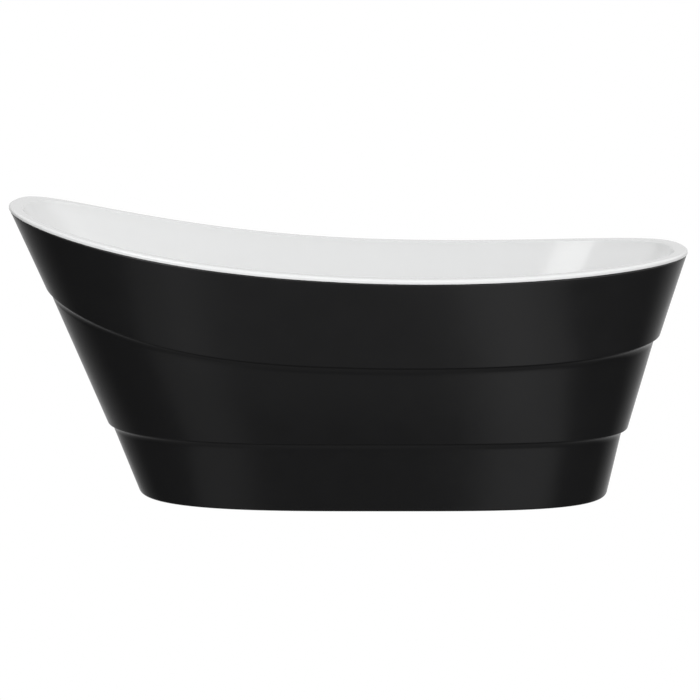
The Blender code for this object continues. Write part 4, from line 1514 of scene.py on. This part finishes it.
def stage_floor():
    """A wide pale floor. Only the camera sees it, and from below it is clear."""
    mesh = bpy.data.meshes.new("floor")
    reach = 30.0
    corners = [(-reach, -reach, 0), (reach, -reach, 0), (reach, reach, 0), (-reach, reach, 0)]
    mesh.from_pydata(corners, [], [(0, 1, 2, 3)])
    finish = bpy.data.materials.new("pale_floor")
    finish.use_nodes = True
    finish.node_tree.nodes.clear()
    nodes = Nodes(finish.node_tree)
    back = nodes.add("ShaderNodeNewGeometry").outputs["Backfacing"]
    pale = nodes.add("ShaderNodeEmission").outputs[0]
    clear = nodes.add("ShaderNodeBsdfTransparent").outputs[0]
    surface = nodes.add("ShaderNodeMixShader", {0: back, 1: pale, 2: clear}).outputs[0]
    nodes.add("ShaderNodeOutputMaterial", {"Surface": surface})
    mesh.materials.append(finish)
    floor = placed("floor", mesh)
    for rays in ("diffuse", "glossy", "transmission", "shadow"):
        setattr(floor, f"visible_{rays}", False)
    floor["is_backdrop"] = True


def stage_world(above, behind, below, floor_glow, left_share):
    """White to the camera. Otherwise a sky, a wall behind, and a dark floor that glows underneath.

    Everything is a little dimmer on the left, by the share given.
    """
    world = bpy.data.worlds.new("studio")
    bpy.context.scene.world = world
    world.use_nodes = True
    world.node_tree.nodes.clear()
    nodes = Nodes(world.node_tree)
    x, y, z = nodes.axes(nodes.add("ShaderNodeTexCoord").outputs["Generated"])

    def product(first, second):
        return nodes.math("MULTIPLY", first, second)

    sky = product(nodes.ramp(z, -0.05, 0.25, below, above), nodes.ramp(y, 0.5, 0.9, 1.0, 0.4))
    sky = product(sky, nodes.ramp(z, 0.6, 1.0, 1.0, 0.3))
    wall = nodes.ramp(y, 0.0, 0.82, below, behind)
    wall = product(wall, nodes.ramp(x, -0.8, -0.1, 0.68, 1.0))
    under = nodes.ramp(z, -0.65, -0.90, below, floor_glow)
    strongest = nodes.math("MAXIMUM", nodes.math("MAXIMUM", sky, wall), under)
    strength = product(strongest, nodes.ramp(x, -0.9, -0.3, left_share, 1.0))
    white = {"Color": (1, 1, 1, 1)}
    light = nodes.add("ShaderNodeBackground", {**white, "Strength": strength}).outputs[0]
    backdrop = nodes.add("ShaderNodeBackground", white).outputs[0]
    seen = nodes.add("ShaderNodeLightPath").outputs["Is Camera Ray"]
    surface = nodes.add("ShaderNodeMixShader", {0: seen, 1: light, 2: backdrop}).outputs[0]
    nodes.add("ShaderNodeOutputWorld", {"Surface": surface})


def soft_light(name, target, turn, rise, distance, width, height, radiance, roll=0.0):
    """A softbox aimed at its target, at a turn to the right of the front and a rise."""
    turn, rise = math.radians(turn), math.radians(rise)
    ahead, up = math.cos(rise), math.sin(rise)
    toward = Vector((math.sin(turn) * ahead, -math.cos(turn) * ahead, up))
    light = bpy.data.lights.new(name, "AREA")
    light.shape = "RECTANGLE"
    light.size = width
    light.size_y = height
    light.energy = radiance * math.pi * width * height
    obj = placed(name, light)
    obj.visible_camera = False
    obj.location = Vector(target) + distance * toward
    aim = (-toward).to_track_quat("-Z", "Y").to_matrix()
    obj.rotation_euler = (aim @ Matrix.Rotation(math.radians(roll), 3, "Z")).to_euler()
    return obj


class TUB_OT_stage(bpy.types.Operator):
    """Set the camera, the floor and the lights"""

    bl_idname = "tub.stage"
    bl_label = "Stage"

    def execute(self, context):
        setup = context.scene.tub_stage
        stage_floor()
        stage_world(above=1.37, behind=0.72, below=0.03, floor_glow=0.15, left_share=0.76)
        soft_light("left_strip", (-0.41, -0.3, 0.3), -28, -25, 2.6, 1.1, 2.6, 0.20)
        soft_light("right_strip", (0.45, -0.32, 0.3), 23.5, -22, 2.6, 1.25, 2.6, 0.34)
        soft_light("low_fill", (0, -0.39, 0.22), 0, 0, 0.6, 1.5, 0.6, 0.10)
        lip = soft_light("lip_fill", (0, -0.4, 0.55), 0, -8, 3.0, 3.2, 0.8, 5.0)
        lip.visible_glossy = False
        window = soft_light("left_window", (0.62, 0.27, 0.55), -43, 24, 2.4, 0.62, 1.6, 2.3, 12)
        window.visible_diffuse = False
        camera = placed("camera", bpy.data.cameras.new("camera"))
        back, up = math.cos(setup.pitch), math.sin(setup.pitch)
        camera.location = (0, -setup.distance * back, setup.target + setup.distance * up)
        camera.rotation_euler = (math.radians(90) - setup.pitch, 0, 0)
        camera.data.lens = setup.lens
        camera.data.shift_y = setup.lift
        context.scene.camera = camera
        context.scene.view_settings.view_transform = "Standard"
        return {"FINISHED"}


class TUB_PT_panel(bpy.types.Panel):
    """The bathtub's pieces, in the order they are made"""

    bl_idname = "TUB_PT_panel"
    bl_label = "Bathtub"
    bl_space_type = "VIEW_3D"
    bl_region_type = "UI"
    bl_category = "Bathtub"

    def draw(self, context):
        for step in STEPS:
            self.layout.operator(step.bl_idname)


GROUPS = {
    "tub_sizes": TubSizes,
    "tub_hardware": TubHardware,
    "tub_finish": TubFinish,
    "tub_stage": TubStage,
}
STEPS = (
    TUB_OT_stage,
    TUB_OT_basin,
    TUB_OT_skirt,
    TUB_OT_board,
    TUB_OT_frame,
    TUB_OT_feet,
    TUB_OT_drain,
    TUB_OT_waste,
    TUB_OT_overflow,
)


def register():
    for cls in (*GROUPS.values(), *STEPS, TUB_PT_panel):
        bpy.utils.register_class(cls)
    for name, cls in GROUPS.items():
        setattr(bpy.types.Scene, name, bpy.props.PointerProperty(type=cls))


def unregister():
    for name in GROUPS:
        delattr(bpy.types.Scene, name)
    for cls in reversed((*GROUPS.values(), *STEPS, TUB_PT_panel)):
        bpy.utils.unregister_class(cls)


def main():
    register()
    for step in STEPS:
        area, name = step.bl_idname.split(".")
        getattr(getattr(bpy.ops, area), name)()
    boxes = {"cad": CAD_BOX, "visual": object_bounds()}
    {key: [list(corner) for corner in box] for key, box in boxes.items()}


if __name__ == "__main__":
    main()
